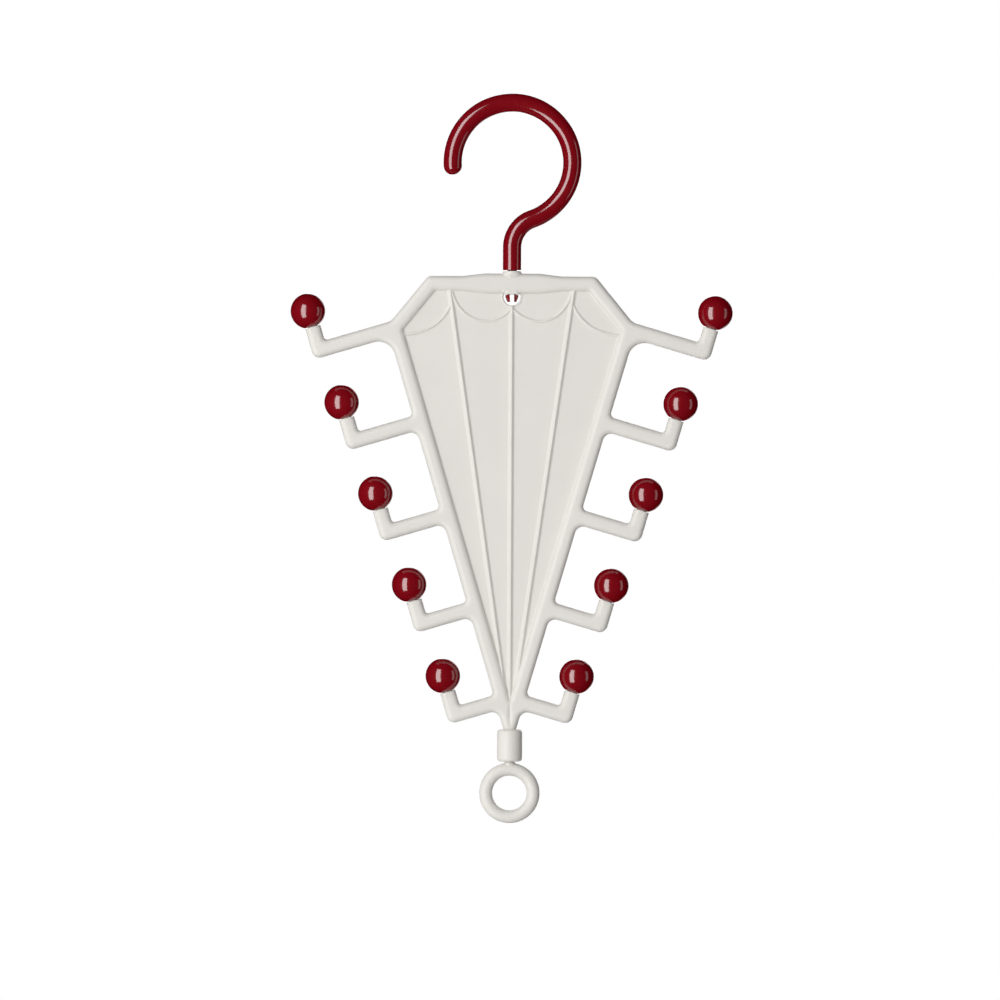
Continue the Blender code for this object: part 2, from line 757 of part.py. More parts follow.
def main():
    """Build the hanger."""
    clear_scene()
    swivel_hook(red_plastic("hook_red"))
    body = umbrella_body(ivory_plastic("body_ivory"))
    cap_red = red_plastic("cap_red")
    for side, side_name in ((-1, "left"), (1, "right")):
        for index in range(ARMS_PER_SIDE):
            ball_cap(f"ball_cap_{side_name}_{index + 1}", cap_red, body, index, side)
    link_ring(ivory_plastic("ring_ivory"), body)


main()
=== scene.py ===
"""Looks of a rotating hanger for small accessories, in the shape of a closed umbrella.

Metres, +Z up, front towards -Y. The origin is the inner crown of the hook and Z is the swivel
axis. Paths and outlines are arrays of points across and up, in the front plane.
"""

import math

import bmesh
import bpy
import numpy as np
from bpy.props import FloatProperty, FloatVectorProperty, IntProperty, PointerProperty
from mathutils import Matrix, Vector
from mathutils.geometry import delaunay_2d_cdt


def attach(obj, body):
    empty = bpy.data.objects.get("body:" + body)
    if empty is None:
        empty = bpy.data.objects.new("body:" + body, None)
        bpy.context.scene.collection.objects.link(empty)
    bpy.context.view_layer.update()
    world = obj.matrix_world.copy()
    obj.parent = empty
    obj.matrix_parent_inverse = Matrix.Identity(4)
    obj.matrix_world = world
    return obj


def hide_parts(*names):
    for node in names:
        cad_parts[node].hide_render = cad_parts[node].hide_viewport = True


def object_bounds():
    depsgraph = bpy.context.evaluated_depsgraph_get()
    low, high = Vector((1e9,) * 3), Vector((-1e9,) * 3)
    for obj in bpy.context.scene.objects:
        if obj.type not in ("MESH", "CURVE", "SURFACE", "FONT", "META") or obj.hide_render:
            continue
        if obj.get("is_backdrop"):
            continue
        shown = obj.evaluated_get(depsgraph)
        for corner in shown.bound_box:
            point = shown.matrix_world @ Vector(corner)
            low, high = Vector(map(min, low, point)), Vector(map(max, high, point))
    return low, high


bl_info = {
    "name": "Umbrella hanger",
    "version": (1, 0, 0),
    "blender": (4, 5, 0),
    "location": "3D View > Sidebar > Hanger",
    "description": "Builds the visible surfaces and the studio of a rotating accessory hanger",
    "category": "Object",
}

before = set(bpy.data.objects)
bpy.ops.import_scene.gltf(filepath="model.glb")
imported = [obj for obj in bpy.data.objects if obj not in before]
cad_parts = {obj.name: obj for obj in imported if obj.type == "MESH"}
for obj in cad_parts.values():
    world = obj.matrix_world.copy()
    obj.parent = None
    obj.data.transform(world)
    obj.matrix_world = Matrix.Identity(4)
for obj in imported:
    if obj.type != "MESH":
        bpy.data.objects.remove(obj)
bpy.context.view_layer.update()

DEPTH = np.array((0.0, 1.0, 0.0))

# How finely the surfaces are divided
ARC_STEP = math.radians(6.0)
SMALL_ARC_STEP = math.radians(15.0)
ROUND_FACETS = 72
BORE_FACETS = 48
ROD_FACETS = 40
SPIGOT_FACETS = 32
PRONG_FACETS = 24
LOOP_STEPS = 160
BEND_STEPS = 48
TIP_STEPS = 16
WINDOW_STEPS = 40
SCALLOP_STEPS = 24
BALL_STEPS = 44
RING_STEPS = 112
RELIEF_SPACING = 0.0008

# The spacing over each of these is the distance between points round the window, the width of a cell
# that keeps one point, the gap left beside the outline, how far from the axis a point is moved onto
# it, and the shortest leg that a path keeps
WINDOW_PARTS = 3
CELL_PARTS = 6
OUTLINE_PARTS = 25
AXIS_PARTS = 12
SHORTEST_PARTS = 1000

# The spacing times each of these is the distance between points along a line and in the coarse grid
LINE_TIMES = 0.8
GRID_TIMES = 3

# Points of the body's outline closer than this are one, in metres
MERGE_DISTANCE = 1e-7

# Kind of triangulation that fills only what its outlines enclose
ENCLOSED = 1

# Shift that takes a point off the axis, in metres
NUDGE = 1e-9

# Least square of a leg's length, so that a leg of no length divides by something
LEAST_SQUARE = 1e-18

# How many points are measured at once, which holds memory down
POINTS_AT_ONCE = 4000

# Edges that bend by more than this many degrees are shaded sharp
SHARP_ANGLE = 40.0
BODY_SHARP_ANGLE = 55.0


# Sizes that a user would change


def length(name, default, description):
    """Size in metres."""
    return FloatProperty(
        name=name, description=description, default=default, min=0.0, unit='LENGTH', precision=5)


def position(name, default, description):
    """Place along an axis in metres."""
    return FloatProperty(name=name, description=description, default=default, unit='LENGTH', precision=5)


def share(name, default, description):
    """Share of something else, from nothing to all of it."""
    return FloatProperty(
        name=name, description=description, default=default, min=0.0, max=1.0, subtype='FACTOR')


def power(name, default, description):
    """Power of a lamp in watts."""
    return FloatProperty(name=name, description=description, default=default, min=0.0, unit='POWER')


def colour(name, default, description):
    """Linear colour."""
    return FloatVectorProperty(
        name=name, description=description, default=default, size=3, min=0.0, max=1.0, subtype='COLOR')


class HangerHook(bpy.types.PropertyGroup):
    """Sizes of the hook and of the split snap heads."""

    rod_diameter: length("Rod diameter", 0.0077, "Thickness of the hook's round rod")
    loop_radius: length("Loop radius", 0.0246, "Radius of the rod's centreline round the loop")
    reverse_radius: length("Reverse bend radius", 0.0124, "Radius of the bend back to the swivel axis")
    tip_drop: length("Tip drop", 0.0014, "How far the open tip lies below the loop's centre")
    straight_length: length("Straight length", 0.0095, "Straight stretch above the swivel seat")
    shank_diameter: length("Shank diameter", 0.0038, "Pin that turns in the bore")
    head_diameter: length("Snap head diameter", 0.0055, "Widest part of a split snap head")
    tip_diameter: length("Snap tip diameter", 0.0037, "Narrow end of a split snap head")
    head_length: length("Snap head length", 0.0030, "Height of a split snap head")
    lead_length: length("Snap head band", 0.0008, "Straight band of a split snap head")
    slot_width: length("Slot width", 0.0017, "Gap between the two prongs of a snap head")
    slot_depth: length("Slot depth", 0.0060, "How far the gap runs into the shank")


class HangerBody(bpy.types.PropertyGroup):
    """Sizes of the one-piece body."""

    fit_gap: length("Fit gap", 0.0003, "Clearance between pieces that touch")
    top_width: length("Top width", 0.0688, "Width of the top rail")
    shoulder_width: length("Shoulder width", 0.1028, "Width at the umbrella's hem")
    neck_width: length("Neck width", 0.0052, "Width above the barrel")
    shoulder_drop: length("Shoulder drop", 0.0208, "Height from the rail down to the hem's corners")
    side_height: length("Side height", 0.1654, "Height from the hem's corners down to the neck")
    top_corner_radius: length("Top corner radius", 0.0033, "Rounding of the rail's ends")
    crown_rise: length("Crown rise", 0.0011, "How far the rail rises in the middle")
    crown_width: length("Crown width", 0.0230, "Width of the raised middle of the rail")
    crown_foot_width: length("Crown foot width", 0.0410, "Width over which the rail rises")
    crown_blend: length("Crown blend", 0.0150, "Rounding of the rise")
    rim_width: length("Rim width", 0.0060, "Width of the rim")
    rim_thickness: length("Rim thickness", 0.0056, "Depth of the rim and the arms")
    edge_radius: length("Edge radius", 0.0023, "Rounding of the rim's and arms' outer edges")
    inner_corner_radius: length("Inner corner radius", 0.0016, "Rounding of the rim's inner corners")
    panel_thickness: length("Panel thickness", 0.0020, "Depth of the flat panel")
    line_width: length("Line width", 0.0017, "Width of the raised scallops")
    line_height: length("Line height", 0.0006, "Height of the raised scallops")
    rib_width: length("Rib width", 0.0025, "Width of the raised ribs")
    rib_height: length("Rib height", 0.00095, "Height of the raised ribs")
    rib_foot_width: length("Rib foot width", 0.0513, "Distance between the side ribs at the rail")
    scallop_depth: length("Scallop depth", 0.0182, "How far the hem's scallops hang down")
    valley_depth: length("Valley depth", 0.0005, "Groove between the two rims above the neck")
    valley_width: length("Valley width", 0.0012, "Width of that groove")
    collar_diameter: length("Collar diameter", 0.0074, "Collar under the hook")
    collar_height: length("Collar height", 0.0010, "How far the collar stands up")
    collar_flare: length("Collar flare", 0.0008, "How far the collar widens to the rail")
    bore_length: length("Bore length", 0.0095, "Length of the hook's seat")
    window_diameter: length("Window diameter", 0.0070, "Round window under the seat")
    window_clearance: length("Window clearance", 0.0013, "Free height below the snap head")
    lip_width: length("Lip width", 0.0010, "Width of the raised lip round the window")
    lip_height: length("Lip height", 0.0003, "Height of the raised lip round the window")
    seat_ring_spacing: length("Seat ring spacing", 0.0008, "Distance between the fine rings on the seat")
    seat_ring_height: length("Seat ring height", 0.00006, "Height of these rings")
    barrel_diameter: length("Barrel diameter", 0.0103, "Round barrel at the foot")
    barrel_length: length("Barrel length", 0.0133, "Height of the barrel")
    barrel_edge: length("Barrel edge radius", 0.0016, "Rounding of the barrel's ends")
    throat_length: length("Throat length", 0.0045, "Narrow part of the ring's seat")
    chamber_clearance: length("Chamber clearance", 0.0004, "Room round the ring's snap head")


class HangerArms(bpy.types.PropertyGroup):
    """Sizes of the arms and of the ball caps on them."""

    per_side: IntProperty(name="Arms per side", description="Number of arms on each side", default=5, min=2)
    width: length("Arm width", 0.0064, "Width of an arm")
    first_drop: length("First arm drop", 0.0017, "From the hem's corner to the first arm")
    last_margin: length("Last arm margin", 0.0113, "From the last arm to the neck")
    first_reach: length("First arm reach", 0.0293, "Length of the first arm's bar")
    last_reach: length("Last arm reach", 0.0177, "Length of the last arm's bar")
    stub_height: length("Stub height", 0.01665, "From an arm's elbow to its ball's centre")
    elbow_outer: length("Outer elbow radius", 0.0033, "Rounding outside the elbow")
    elbow_inner: length("Inner elbow radius", 0.0014, "Rounding inside the elbow")
    upper_fillet: length("Upper fillet", 0.0020, "Rounding above an arm's root")
    lower_fillet: length("Lower fillet", 0.0035, "Rounding below an arm's root")
    first_upper_fillet: length("First upper fillet", 0.0055, "Rounding above the first arm's root")
    first_lower_fillet: length("First lower fillet", 0.0070, "Rounding below the first arm's root")
    ball_diameter: length("Ball diameter", 0.01455, "Diameter of a ball cap")
    ball_edge: length("Ball edge radius", 0.0003, "Rounding where the ball meets its flat seat")
    spigot_diameter: length("Spigot diameter", 0.0042, "Pin that a ball cap is pushed onto")
    spigot_length: length("Spigot length", 0.0065, "Length of that pin")


class HangerRing(bpy.types.PropertyGroup):
    """Sizes of the link ring."""

    hole_diameter: length("Hole diameter", 0.0142, "Clear width of the ring")
    tube_diameter: length("Tube diameter", 0.0053, "Thickness of the ring")
    stem_diameter: length("Stem diameter", 0.0046, "Neck between the ring and the barrel")
    stem_length: length("Stem length", 0.0002, "Height of that neck")


class HangerPlastics(bpy.types.PropertyGroup):
    """Colours and finishes of the two plastics."""

    red: colour("Red", (0.20, 0.0015, 0.006), "Colour of the hook and the ball caps")
    red_roughness: share("Red roughness", 0.14, "Blur of the red plastic's reflections")
    red_shine: share("Red shine", 0.3, "Weight of the clear gloss over the red plastic")
    ivory: colour("Ivory", (0.72, 0.70, 0.66), "Colour of the body and the ring")
    ivory_roughness: share("Ivory roughness", 0.42, "Blur of the ivory plastic's reflections")


class HangerStudio(bpy.types.PropertyGroup):
    """Camera and light."""

    camera_distance: length("Camera distance", 3.0, "From the camera to the swivel axis")
    view_width: length("View width", 0.4111, "Width that the picture covers at the hanger")
    view_across: position("View across", -0.0045, "Where the picture's middle lies across")
    view_height: position("View height", -0.1595, "Where the picture's middle lies in height")
    roll: FloatProperty(
        name="Roll", description="Turn of the camera about its view",
        default=math.radians(0.3), subtype='ANGLE')
    floor_drop: length("Floor drop", 1.5, "How far the floor lies below the hook")
    floor_width: length("Floor width", 1.0, "Width of the floor")
    lamp_distance: length("Lamp distance", 1.3, "From the lamps to the hanger's middle")
    key_power: power("Key power", 10.3, "Power of the tall softbox at the left")
    shine_power: power("Shine power", 30.0, "Power of its reflection")
    strip_power: power("Strip power", 1.8, "Power of the dim strip at the right")
    back_power: power("Back power", 19.0, "Power of the softbox behind")
    back_shine_power: power("Back shine power", 11.0, "Power of the reflection from behind")
    front_fill: share("Front fill", 0.68, "Brightness of the walls in front and at the left")
    back_fill: share("Back fill", 0.02, "Brightness of the walls behind and at the right")


# Heights and places that follow from the sizes


class Layout:
    """Heights along the swivel axis and places of the arms, worked out from the sizes."""

    def __init__(self, scene):
        hook, body, arms = scene.hanger_hook, scene.hanger_body, scene.hanger_arms
        self.hook, self.body, self.arms = hook, body, arms
        self.ring = scene.hanger_ring
        self.rod_radius = hook.rod_diameter / 2
        self.loop_z = self.rod_radius - hook.loop_radius
        apart = hook.loop_radius + hook.reverse_radius
        self.bend_z = self.loop_z - math.sqrt(apart ** 2 - hook.reverse_radius ** 2)
        self.loop_end = -math.acos(hook.reverse_radius / apart)
        self.hook_shoulder_z = self.bend_z - hook.straight_length
        self.collar_top_z = self.hook_shoulder_z - body.fit_gap
        self.crown_z = self.collar_top_z - body.collar_height
        self.rail_z = self.crown_z - body.crown_rise
        self.rail_lower_z = self.rail_z - body.rim_width
        self.shoulder_z = self.rail_z - body.shoulder_drop
        self.neck_z = self.shoulder_z - body.side_height
        self.barrel_z = self.neck_z - body.barrel_length
        self.ledge_z = self.collar_top_z - body.bore_length
        self.snap_tip_z = self.ledge_z - body.fit_gap - hook.head_length
        self.window_radius = body.window_diameter / 2
        self.window_z = self.snap_tip_z - body.window_clearance + self.window_radius
        self.ring_top_z = self.barrel_z - body.fit_gap - self.ring.stem_length
        run = (body.shoulder_width - body.neck_width) / 2
        self.side_length = math.hypot(run, body.side_height)
        self.lean = math.atan2(run, body.side_height)
        self.apex_z = self.neck_z - body.neck_width / 2 * body.side_height / run
        self.down_side = np.array((-math.sin(self.lean), -math.cos(self.lean)))
        self.along_arm = np.array((math.cos(self.lean), -math.sin(self.lean)))
        self.shoulder = np.array((body.shoulder_width / 2, self.shoulder_z))
        self.ball_radius = arms.ball_diameter / 2
        self.seat_radius = arms.width / 2
        self.seat_drop = math.sqrt(self.ball_radius ** 2 - self.seat_radius ** 2)

    def arm_root(self, index):
        """Where an arm's centreline leaves the side."""
        part = index / (self.arms.per_side - 1)
        first, last = self.arms.first_drop, self.arms.last_margin
        return self.shoulder + self.down_side * (first + (self.side_length - first - last) * part)

    def arm_elbow(self, index):
        """Where the centrelines of an arm's bar and stub meet."""
        part = index / (self.arms.per_side - 1)
        reach = self.arms.first_reach + (self.arms.last_reach - self.arms.first_reach) * part
        return self.arm_root(index) + self.along_arm * reach

    def ball_centre(self, index):
        """Centre of an arm's ball cap."""
        return self.arm_elbow(index) - self.down_side * self.arms.stub_height

    def stub_end(self, index):
        """Middle of the end face of an arm's stub."""
        rise = self.arms.stub_height - self.seat_drop - self.body.fit_gap
        return self.arm_elbow(index) - self.down_side * rise

    def upright_at(self, point, side):
        """Place on a side's stubs, with the local Z axis along the stub."""
        place = Matrix.Translation((side * point[0], 0.0, point[1]))
        return place @ Matrix.Rotation(side * self.lean, 4, 'Y')


# Paths in the front plane


def unit(vector):
    """The same direction at length one."""
    return vector / np.linalg.norm(vector)


def crossing(point_a, direction_a, point_b, direction_b):
    """Where two lines cross: point a + direction a x along, where along is (gap cross direction b) /
    (direction a cross direction b)."""
    gap = point_b - point_a
    along = (gap[0] * direction_b[1] - gap[1] * direction_b[0]) / (
        direction_a[0] * direction_b[1] - direction_a[1] * direction_b[0])
    return point_a + direction_a * along


def rounded(corners, step=ARC_STEP):
    """Path through (across, up, radius) corners. Each corner becomes the arc that touches both of
    its legs: centre + radius x (cos t, sin t), with t running evenly from one touch to the other."""
    points = []
    for index, (x, z, radius) in enumerate(corners):
        here = np.array((x, z))
        if radius == 0 or index in (0, len(corners) - 1):
            points.append(here[None])
            continue
        before = np.array(corners[index - 1][:2]) - here
        after = np.array(corners[index + 1][:2]) - here
        toward, onward = unit(before), unit(after)
        half_angle = math.acos(float(np.clip(toward @ onward, -1.0, 1.0))) / 2
        reach = min(radius / math.tan(half_angle), np.linalg.norm(before) / 2, np.linalg.norm(after) / 2)
        limited = reach * math.tan(half_angle)
        centre = here + unit(toward + onward) * (limited / math.sin(half_angle))
        turn = math.pi - 2 * half_angle
        if toward[0] * onward[1] - toward[1] * onward[0] > 0:
            turn = -turn
        start = here + toward * reach - centre
        steps = max(2, math.ceil(abs(turn) / step))
        angle = math.atan2(start[1], start[0]) + turn * np.linspace(0.0, 1.0, steps + 1)
        points.append(centre + limited * np.stack((np.cos(angle), np.sin(angle)), axis=1))
    return np.vstack(points)


def resampled(path, spacing):
    """The same path with points added at even steps along each leg: start + leg x k / steps."""
    legs = np.diff(path, axis=0)
    lengths = np.linalg.norm(legs, axis=1)
    kept = lengths > spacing / SHORTEST_PARTS
    starts, legs, lengths = path[:-1][kept], legs[kept], lengths[kept]
    counts = np.maximum(1, np.ceil(lengths / spacing)).astype(int)
    leg = np.repeat(np.arange(len(legs)), counts)
    first = np.repeat(np.cumsum(counts) - counts, counts)
    along = (np.arange(counts.sum()) - first) / counts[leg]
    return np.vstack((starts[leg] + legs[leg] * along[:, None], path[-1:]))


def side_normals(path):
    """Unit normals on the right-hand side of a path: the mean of the neighbouring legs, turned a
    quarter."""
    legs = np.diff(path, axis=0)
    legs = legs / np.linalg.norm(legs, axis=1, keepdims=True)
    mean = np.vstack((legs[:1], legs)) + np.vstack((legs, legs[-1:]))
    mean = mean / np.linalg.norm(mean, axis=1, keepdims=True)
    return np.stack((mean[:, 1], -mean[:, 0]), axis=1)


def beside(path, offsets):
    """Rows of points beside a path: point + normal x offset, for each offset."""
    normals = side_normals(path)
    return (path[None] + normals[None] * np.asarray(offsets)[:, None, None]).reshape(-1, 2)


def distance_to(points, paths):
    """Shortest distance from each point to any leg of the paths: the gap to the nearest point of
    the leg, start + leg x clip(gap . leg / leg . leg, 0, 1)."""
    nearest = np.full(len(points), np.inf)
    for path in paths:
        starts, legs = path[:-1], np.diff(path, axis=0)
        squares = np.maximum((legs ** 2).sum(axis=1), LEAST_SQUARE)
        for part in np.array_split(np.arange(len(points)), max(1, len(points) // POINTS_AT_ONCE)):
            gap = points[part][:, None] - starts[None]
            along = np.clip((gap * legs[None]).sum(axis=2) / squares, 0.0, 1.0)
            away = gap - legs[None] * along[:, :, None]
            nearest[part] = np.minimum(nearest[part], np.sqrt((away ** 2).sum(axis=2).min(axis=1)))
    return nearest


def is_inside(points, loop):
    """Whether points lie in a closed loop: a ray to the right crosses it an odd number of times."""
    following = np.roll(loop, -1, axis=0)
    odd = np.zeros(len(points), bool)
    for (x0, z0), (x1, z1) in zip(loop, following):
        if z0 == z1:
            continue
        spans = (points[:, 1] > z0) != (points[:, 1] > z1)
        odd ^= spans & (points[:, 0] < x0 + (points[:, 1] - z0) * (x1 - x0) / (z1 - z0))
    return odd


def bezier(controls, steps):
    """Cubic curve: s^3 a + 3 s^2 t b + 3 s t^2 c + t^3 d, with s = 1 - t."""
    t = np.linspace(0.0, 1.0, steps + 1)[:, None]
    a, b, c, d = np.asarray(controls, float)
    return (1 - t) ** 3 * a + 3 * (1 - t) ** 2 * t * b + 3 * (1 - t) * t ** 2 * c + t ** 3 * d


# Skins from grids of points


def lofted(rings, start=None, end=None, looped=False):
    """Skin of rings by points by 3: quad (i, j) joins ring i to ring i + 1 between points j and
    j + 1, counted round. An open end is closed by triangles to one point, which is the ring's mean
    if none is given."""
    rows, columns = rings.shape[:2]
    row = np.arange(rows if looped else rows - 1)[:, None]
    column = np.arange(columns)[None]
    following, below = (column + 1) % columns, (row + 1) % rows
    upper, lower = row * columns, below * columns
    quads = np.stack(np.broadcast_arrays(
        upper + column, upper + following, lower + following, lower + column), axis=-1).reshape(-1, 4)
    points = rings.reshape(-1, 3)
    if looped:
        return points, quads.tolist()
    start = rings[0].mean(axis=0) if start is None else start
    end = rings[-1].mean(axis=0) if end is None else end
    tip, last = len(points), (rows - 1) * columns
    column, following = column[0], following[0]
    first_fan = np.stack((following, column, np.full(columns, tip)), axis=1)
    last_fan = np.stack((last + column, last + following, np.full(columns, tip + 1)), axis=1)
    return np.vstack((points, start, end)), quads.tolist() + first_fan.tolist() + last_fan.tolist()


def turned(profile, facets, looped=False):
    """Profile of (radius, height) turned about Z: (radius cos t, radius sin t, height). An end on the
    axis is closed there in one point."""
    profile = np.asarray(profile, float)
    tips = [None, None]
    if not looped and profile[0, 0] == 0:
        tips[0] = (0.0, 0.0, profile[0, 1])
        profile = profile[1:]
    if not looped and profile[-1, 0] == 0:
        tips[1] = (0.0, 0.0, profile[-1, 1])
        profile = profile[:-1]
    angle = 2 * math.pi * np.arange(facets) / facets
    radius = profile[:, :1]
    rings = np.stack(np.broadcast_arrays(
        radius * np.cos(angle), radius * np.sin(angle), profile[:, 1:]), axis=-1)
    return lofted(rings, tips[0], tips[1], looped)


def swept(path, headings, radii, facets, start=None, looped=False):
    """Tube in the front plane: centre + radius x (across cos t + depth sin t), where across is the
    heading turned a quarter."""
    centres = np.stack((path[:, 0], np.zeros(len(path)), path[:, 1]), axis=1)
    across = np.stack((headings[:, 1], np.zeros(len(path)), -headings[:, 0]), axis=1)
    angle = 2 * math.pi * np.arange(facets) / facets
    spokes = across[:, None] * np.cos(angle)[None, :, None] + DEPTH * np.sin(angle)[None, :, None]
    return lofted(centres[:, None] + spokes * radii[:, None, None], start=start, looped=looped)


def prong(profile, slot_width, side):
    """Half of a turned snap head beside its slot. Each ring runs round the circle from -a to a,
    where radius x cos a is half the slot, and back along the slot's flat wall."""
    profile = np.asarray(profile, float)
    half = slot_width / 2
    limit = np.arccos(half / profile[:, 0])[:, None]
    turn = limit * np.linspace(-1.0, 1.0, PRONG_FACETS)
    wall = np.linspace(1.0, -1.0, PRONG_FACETS // 2 + 2)[1:-1]
    x = np.hstack((profile[:, :1] * np.cos(turn), np.full((len(profile), len(wall)), half)))
    y = np.hstack((profile[:, :1] * np.sin(turn), profile[:, :1] * np.sin(limit) * wall))
    rings = np.stack(np.broadcast_arrays(side * x, y, profile[:, 1:]), axis=-1)
    return lofted(rings)


def joined(shells):
    """Several skins as one, with the later ones' point numbers moved up."""
    points, faces, count = [], [], 0
    for shell_points, shell_faces in shells:
        points.append(shell_points)
        faces += [[number + count for number in face] for face in shell_faces]
        count += len(shell_points)
    return np.vstack(points), faces


def placed(shell, matrix):
    """A skin moved by a matrix."""
    points, faces = shell
    turn = np.array(matrix.to_3x3())
    return points @ turn.T + np.array(matrix.translation), faces


def add_skin(name, shell):
    """Make a skin an object whose faces point out."""
    points, faces = shell
    mesh = bpy.data.meshes.new(name)
    mesh.from_pydata(points.tolist(), [], faces)
    shape = bmesh.new()
    shape.from_mesh(mesh)
    bmesh.ops.recalc_face_normals(shape, faces=shape.faces)
    shape.to_mesh(mesh)
    shape.free()
    item = bpy.data.objects.new(name, mesh)
    bpy.context.scene.collection.objects.link(item)
    return item


def without(piece, space):
    """Cut the space of a skin out of a piece, and turn the result into the piece's mesh."""
    cutter = add_skin("cutter", space)
    cut = piece.modifiers.new("Cut", 'BOOLEAN')
    cut.object = cutter
    shape = bpy.data.meshes.new_from_object(piece.evaluated_get(bpy.context.evaluated_depsgraph_get()))
    piece.modifiers.remove(cut)
    piece.data = shape
    bpy.data.objects.remove(cutter)


def add_piece(name, shell, material, body_name, nodes=(), sharp=SHARP_ANGLE, space=None):
    """Make a skin a smooth-shaded piece, with a space cut out if one is given, and let it ride on its
    body."""
    piece = add_skin(name, shell)
    if space is not None:
        without(piece, space)
    mesh = piece.data
    mesh.materials.append(material)
    mesh.shade_smooth()
    mesh.set_sharp_from_angle(angle=math.radians(sharp))
    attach(piece, body_name)
    if nodes:
        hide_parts(*nodes)


# Materials

# Noises, as cycles a metre and detail
FLOW_GRAIN = (55.0, 3.0)
POLISH_GRAIN = (320.0, 4.0)
SKIN_GRAIN = (1400.0, 3.0)
FLOOR_GRAIN = (1.5, 4.0)

# Range that most of a noise lies in
NOISE_MIDDLE = (0.3, 0.7)

# Least and greatest roughness of a plastic, as shares of its own
POLISH_SPREAD = (0.85, 1.15)

SKIN_DEPTH = 0.0001
COAT_IOR = 1.6

# The floor's two colours, its roughness and how strongly the camera sees it glow
FLOOR_SHADES = ((0.80, 0.80, 0.79), (0.84, 0.84, 0.83))
FLOOR_ROUGHNESS = 0.85
FLOOR_GLOW = 0.6


def node_tree(material):
    """Nodes, links and the Principled BSDF of a material."""
    material.use_nodes = True
    return material.node_tree.nodes, material.node_tree.links, material.node_tree.nodes["Principled BSDF"]


def noise(nodes, links, place, scale, detail):
    """Noise over the object, in cycles a metre."""
    texture = nodes.new("ShaderNodeTexNoise")
    texture.inputs["Scale"].default_value = scale
    texture.inputs["Detail"].default_value = detail
    links.new(place, texture.inputs["Vector"])
    return texture.outputs["Fac"]


def ramped(nodes, links, value, start, end, low, high):
    """Value stretched from one range to another and held at its ends."""
    step = nodes.new("ShaderNodeMapRange")
    step.inputs["From Min"].default_value = start
    step.inputs["From Max"].default_value = end
    step.inputs["To Min"].default_value = low
    step.inputs["To Max"].default_value = high
    links.new(value, step.inputs["Value"])
    return step.outputs["Result"]


def spread(nodes, links, value, low, high):
    """The middle part of a noise stretched between two values."""
    return ramped(nodes, links, value, *NOISE_MIDDLE, low, high)


def clouded(nodes, links, place, grain, first, second):
    """Colour that drifts between two colours with a noise."""
    tint = nodes.new("ShaderNodeMix")
    tint.data_type = 'RGBA'
    tint.inputs["A"].default_value = (*first, 1.0)
    tint.inputs["B"].default_value = (*second, 1.0)
    links.new(spread(nodes, links, noise(nodes, links, place, *grain), 0.0, 1.0), tint.inputs["Factor"])
    return tint.outputs["Result"]


def moulded_plastic(name, base, roughness, variation, skin, gloss, coat):
    """Moulded plastic: flow marks in its colour, uneven polish and a fine skin."""
    material = bpy.data.materials.new(name)
    nodes, links, shader = node_tree(material)
    place = nodes.new("ShaderNodeTexCoord").outputs["Object"]
    darker = [channel * (1 - variation) for channel in base]
    paler = [min(1.0, channel * (1 + variation)) for channel in base]
    links.new(clouded(nodes, links, place, FLOW_GRAIN, darker, paler), shader.inputs["Base Color"])
    polish = noise(nodes, links, place, *POLISH_GRAIN)
    smoothest, roughest = (roughness * part for part in POLISH_SPREAD)
    links.new(spread(nodes, links, polish, smoothest, roughest), shader.inputs["Roughness"])
    bump = nodes.new("ShaderNodeBump")
    bump.inputs["Strength"].default_value = skin
    bump.inputs["Distance"].default_value = SKIN_DEPTH
    links.new(noise(nodes, links, place, *SKIN_GRAIN), bump.inputs["Height"])
    links.new(bump.outputs["Normal"], shader.inputs["Normal"])
    shader.inputs["Metallic"].default_value = 0.0
    shader.inputs["Specular IOR Level"].default_value = gloss
    shader.inputs["Coat Weight"].default_value = coat
    shader.inputs["Coat Roughness"].default_value = roughness / 2
    shader.inputs["Coat IOR"].default_value = COAT_IOR
    material.diffuse_color = (*base, 1.0)
    return material


def red_plastic(name, plastics):
    """Glossy wine red, as on the hook and the ball caps."""
    return moulded_plastic(
        name, plastics.red, plastics.red_roughness,
        variation=0.06, skin=0.008, gloss=0.5, coat=plastics.red_shine)


def ivory_plastic(name, plastics):
    """Satin warm white, as on the body and the ring."""
    return moulded_plastic(
        name, plastics.ivory, plastics.ivory_roughness,
        variation=0.012, skin=0.12, gloss=0.15, coat=0.0)


def floor_paint(name):
    """Pale matt floor, which the camera sees nearly white."""
    material = bpy.data.materials.new(name)
    nodes, links, shader = node_tree(material)
    place = nodes.new("ShaderNodeTexCoord").outputs["Object"]
    links.new(clouded(nodes, links, place, FLOOR_GRAIN, *FLOOR_SHADES), shader.inputs["Base Color"])
    shader.inputs["Roughness"].default_value = FLOOR_ROUGHNESS
    shader.inputs["Emission Color"].default_value = (1.0, 1.0, 1.0, 1.0)
    seen = nodes.new("ShaderNodeLightPath").outputs["Is Camera Ray"]
    links.new(ramped(nodes, links, seen, 0.0, 1.0, 0.0, FLOOR_GLOW), shader.inputs["Emission Strength"])
    return material


# The hook


def arc_of_path(centre, radius, angles):
    """Points centre + radius x (cos t, sin t)."""
    return np.array(centre) + radius * np.stack((np.cos(angles), np.sin(angles)), axis=1)


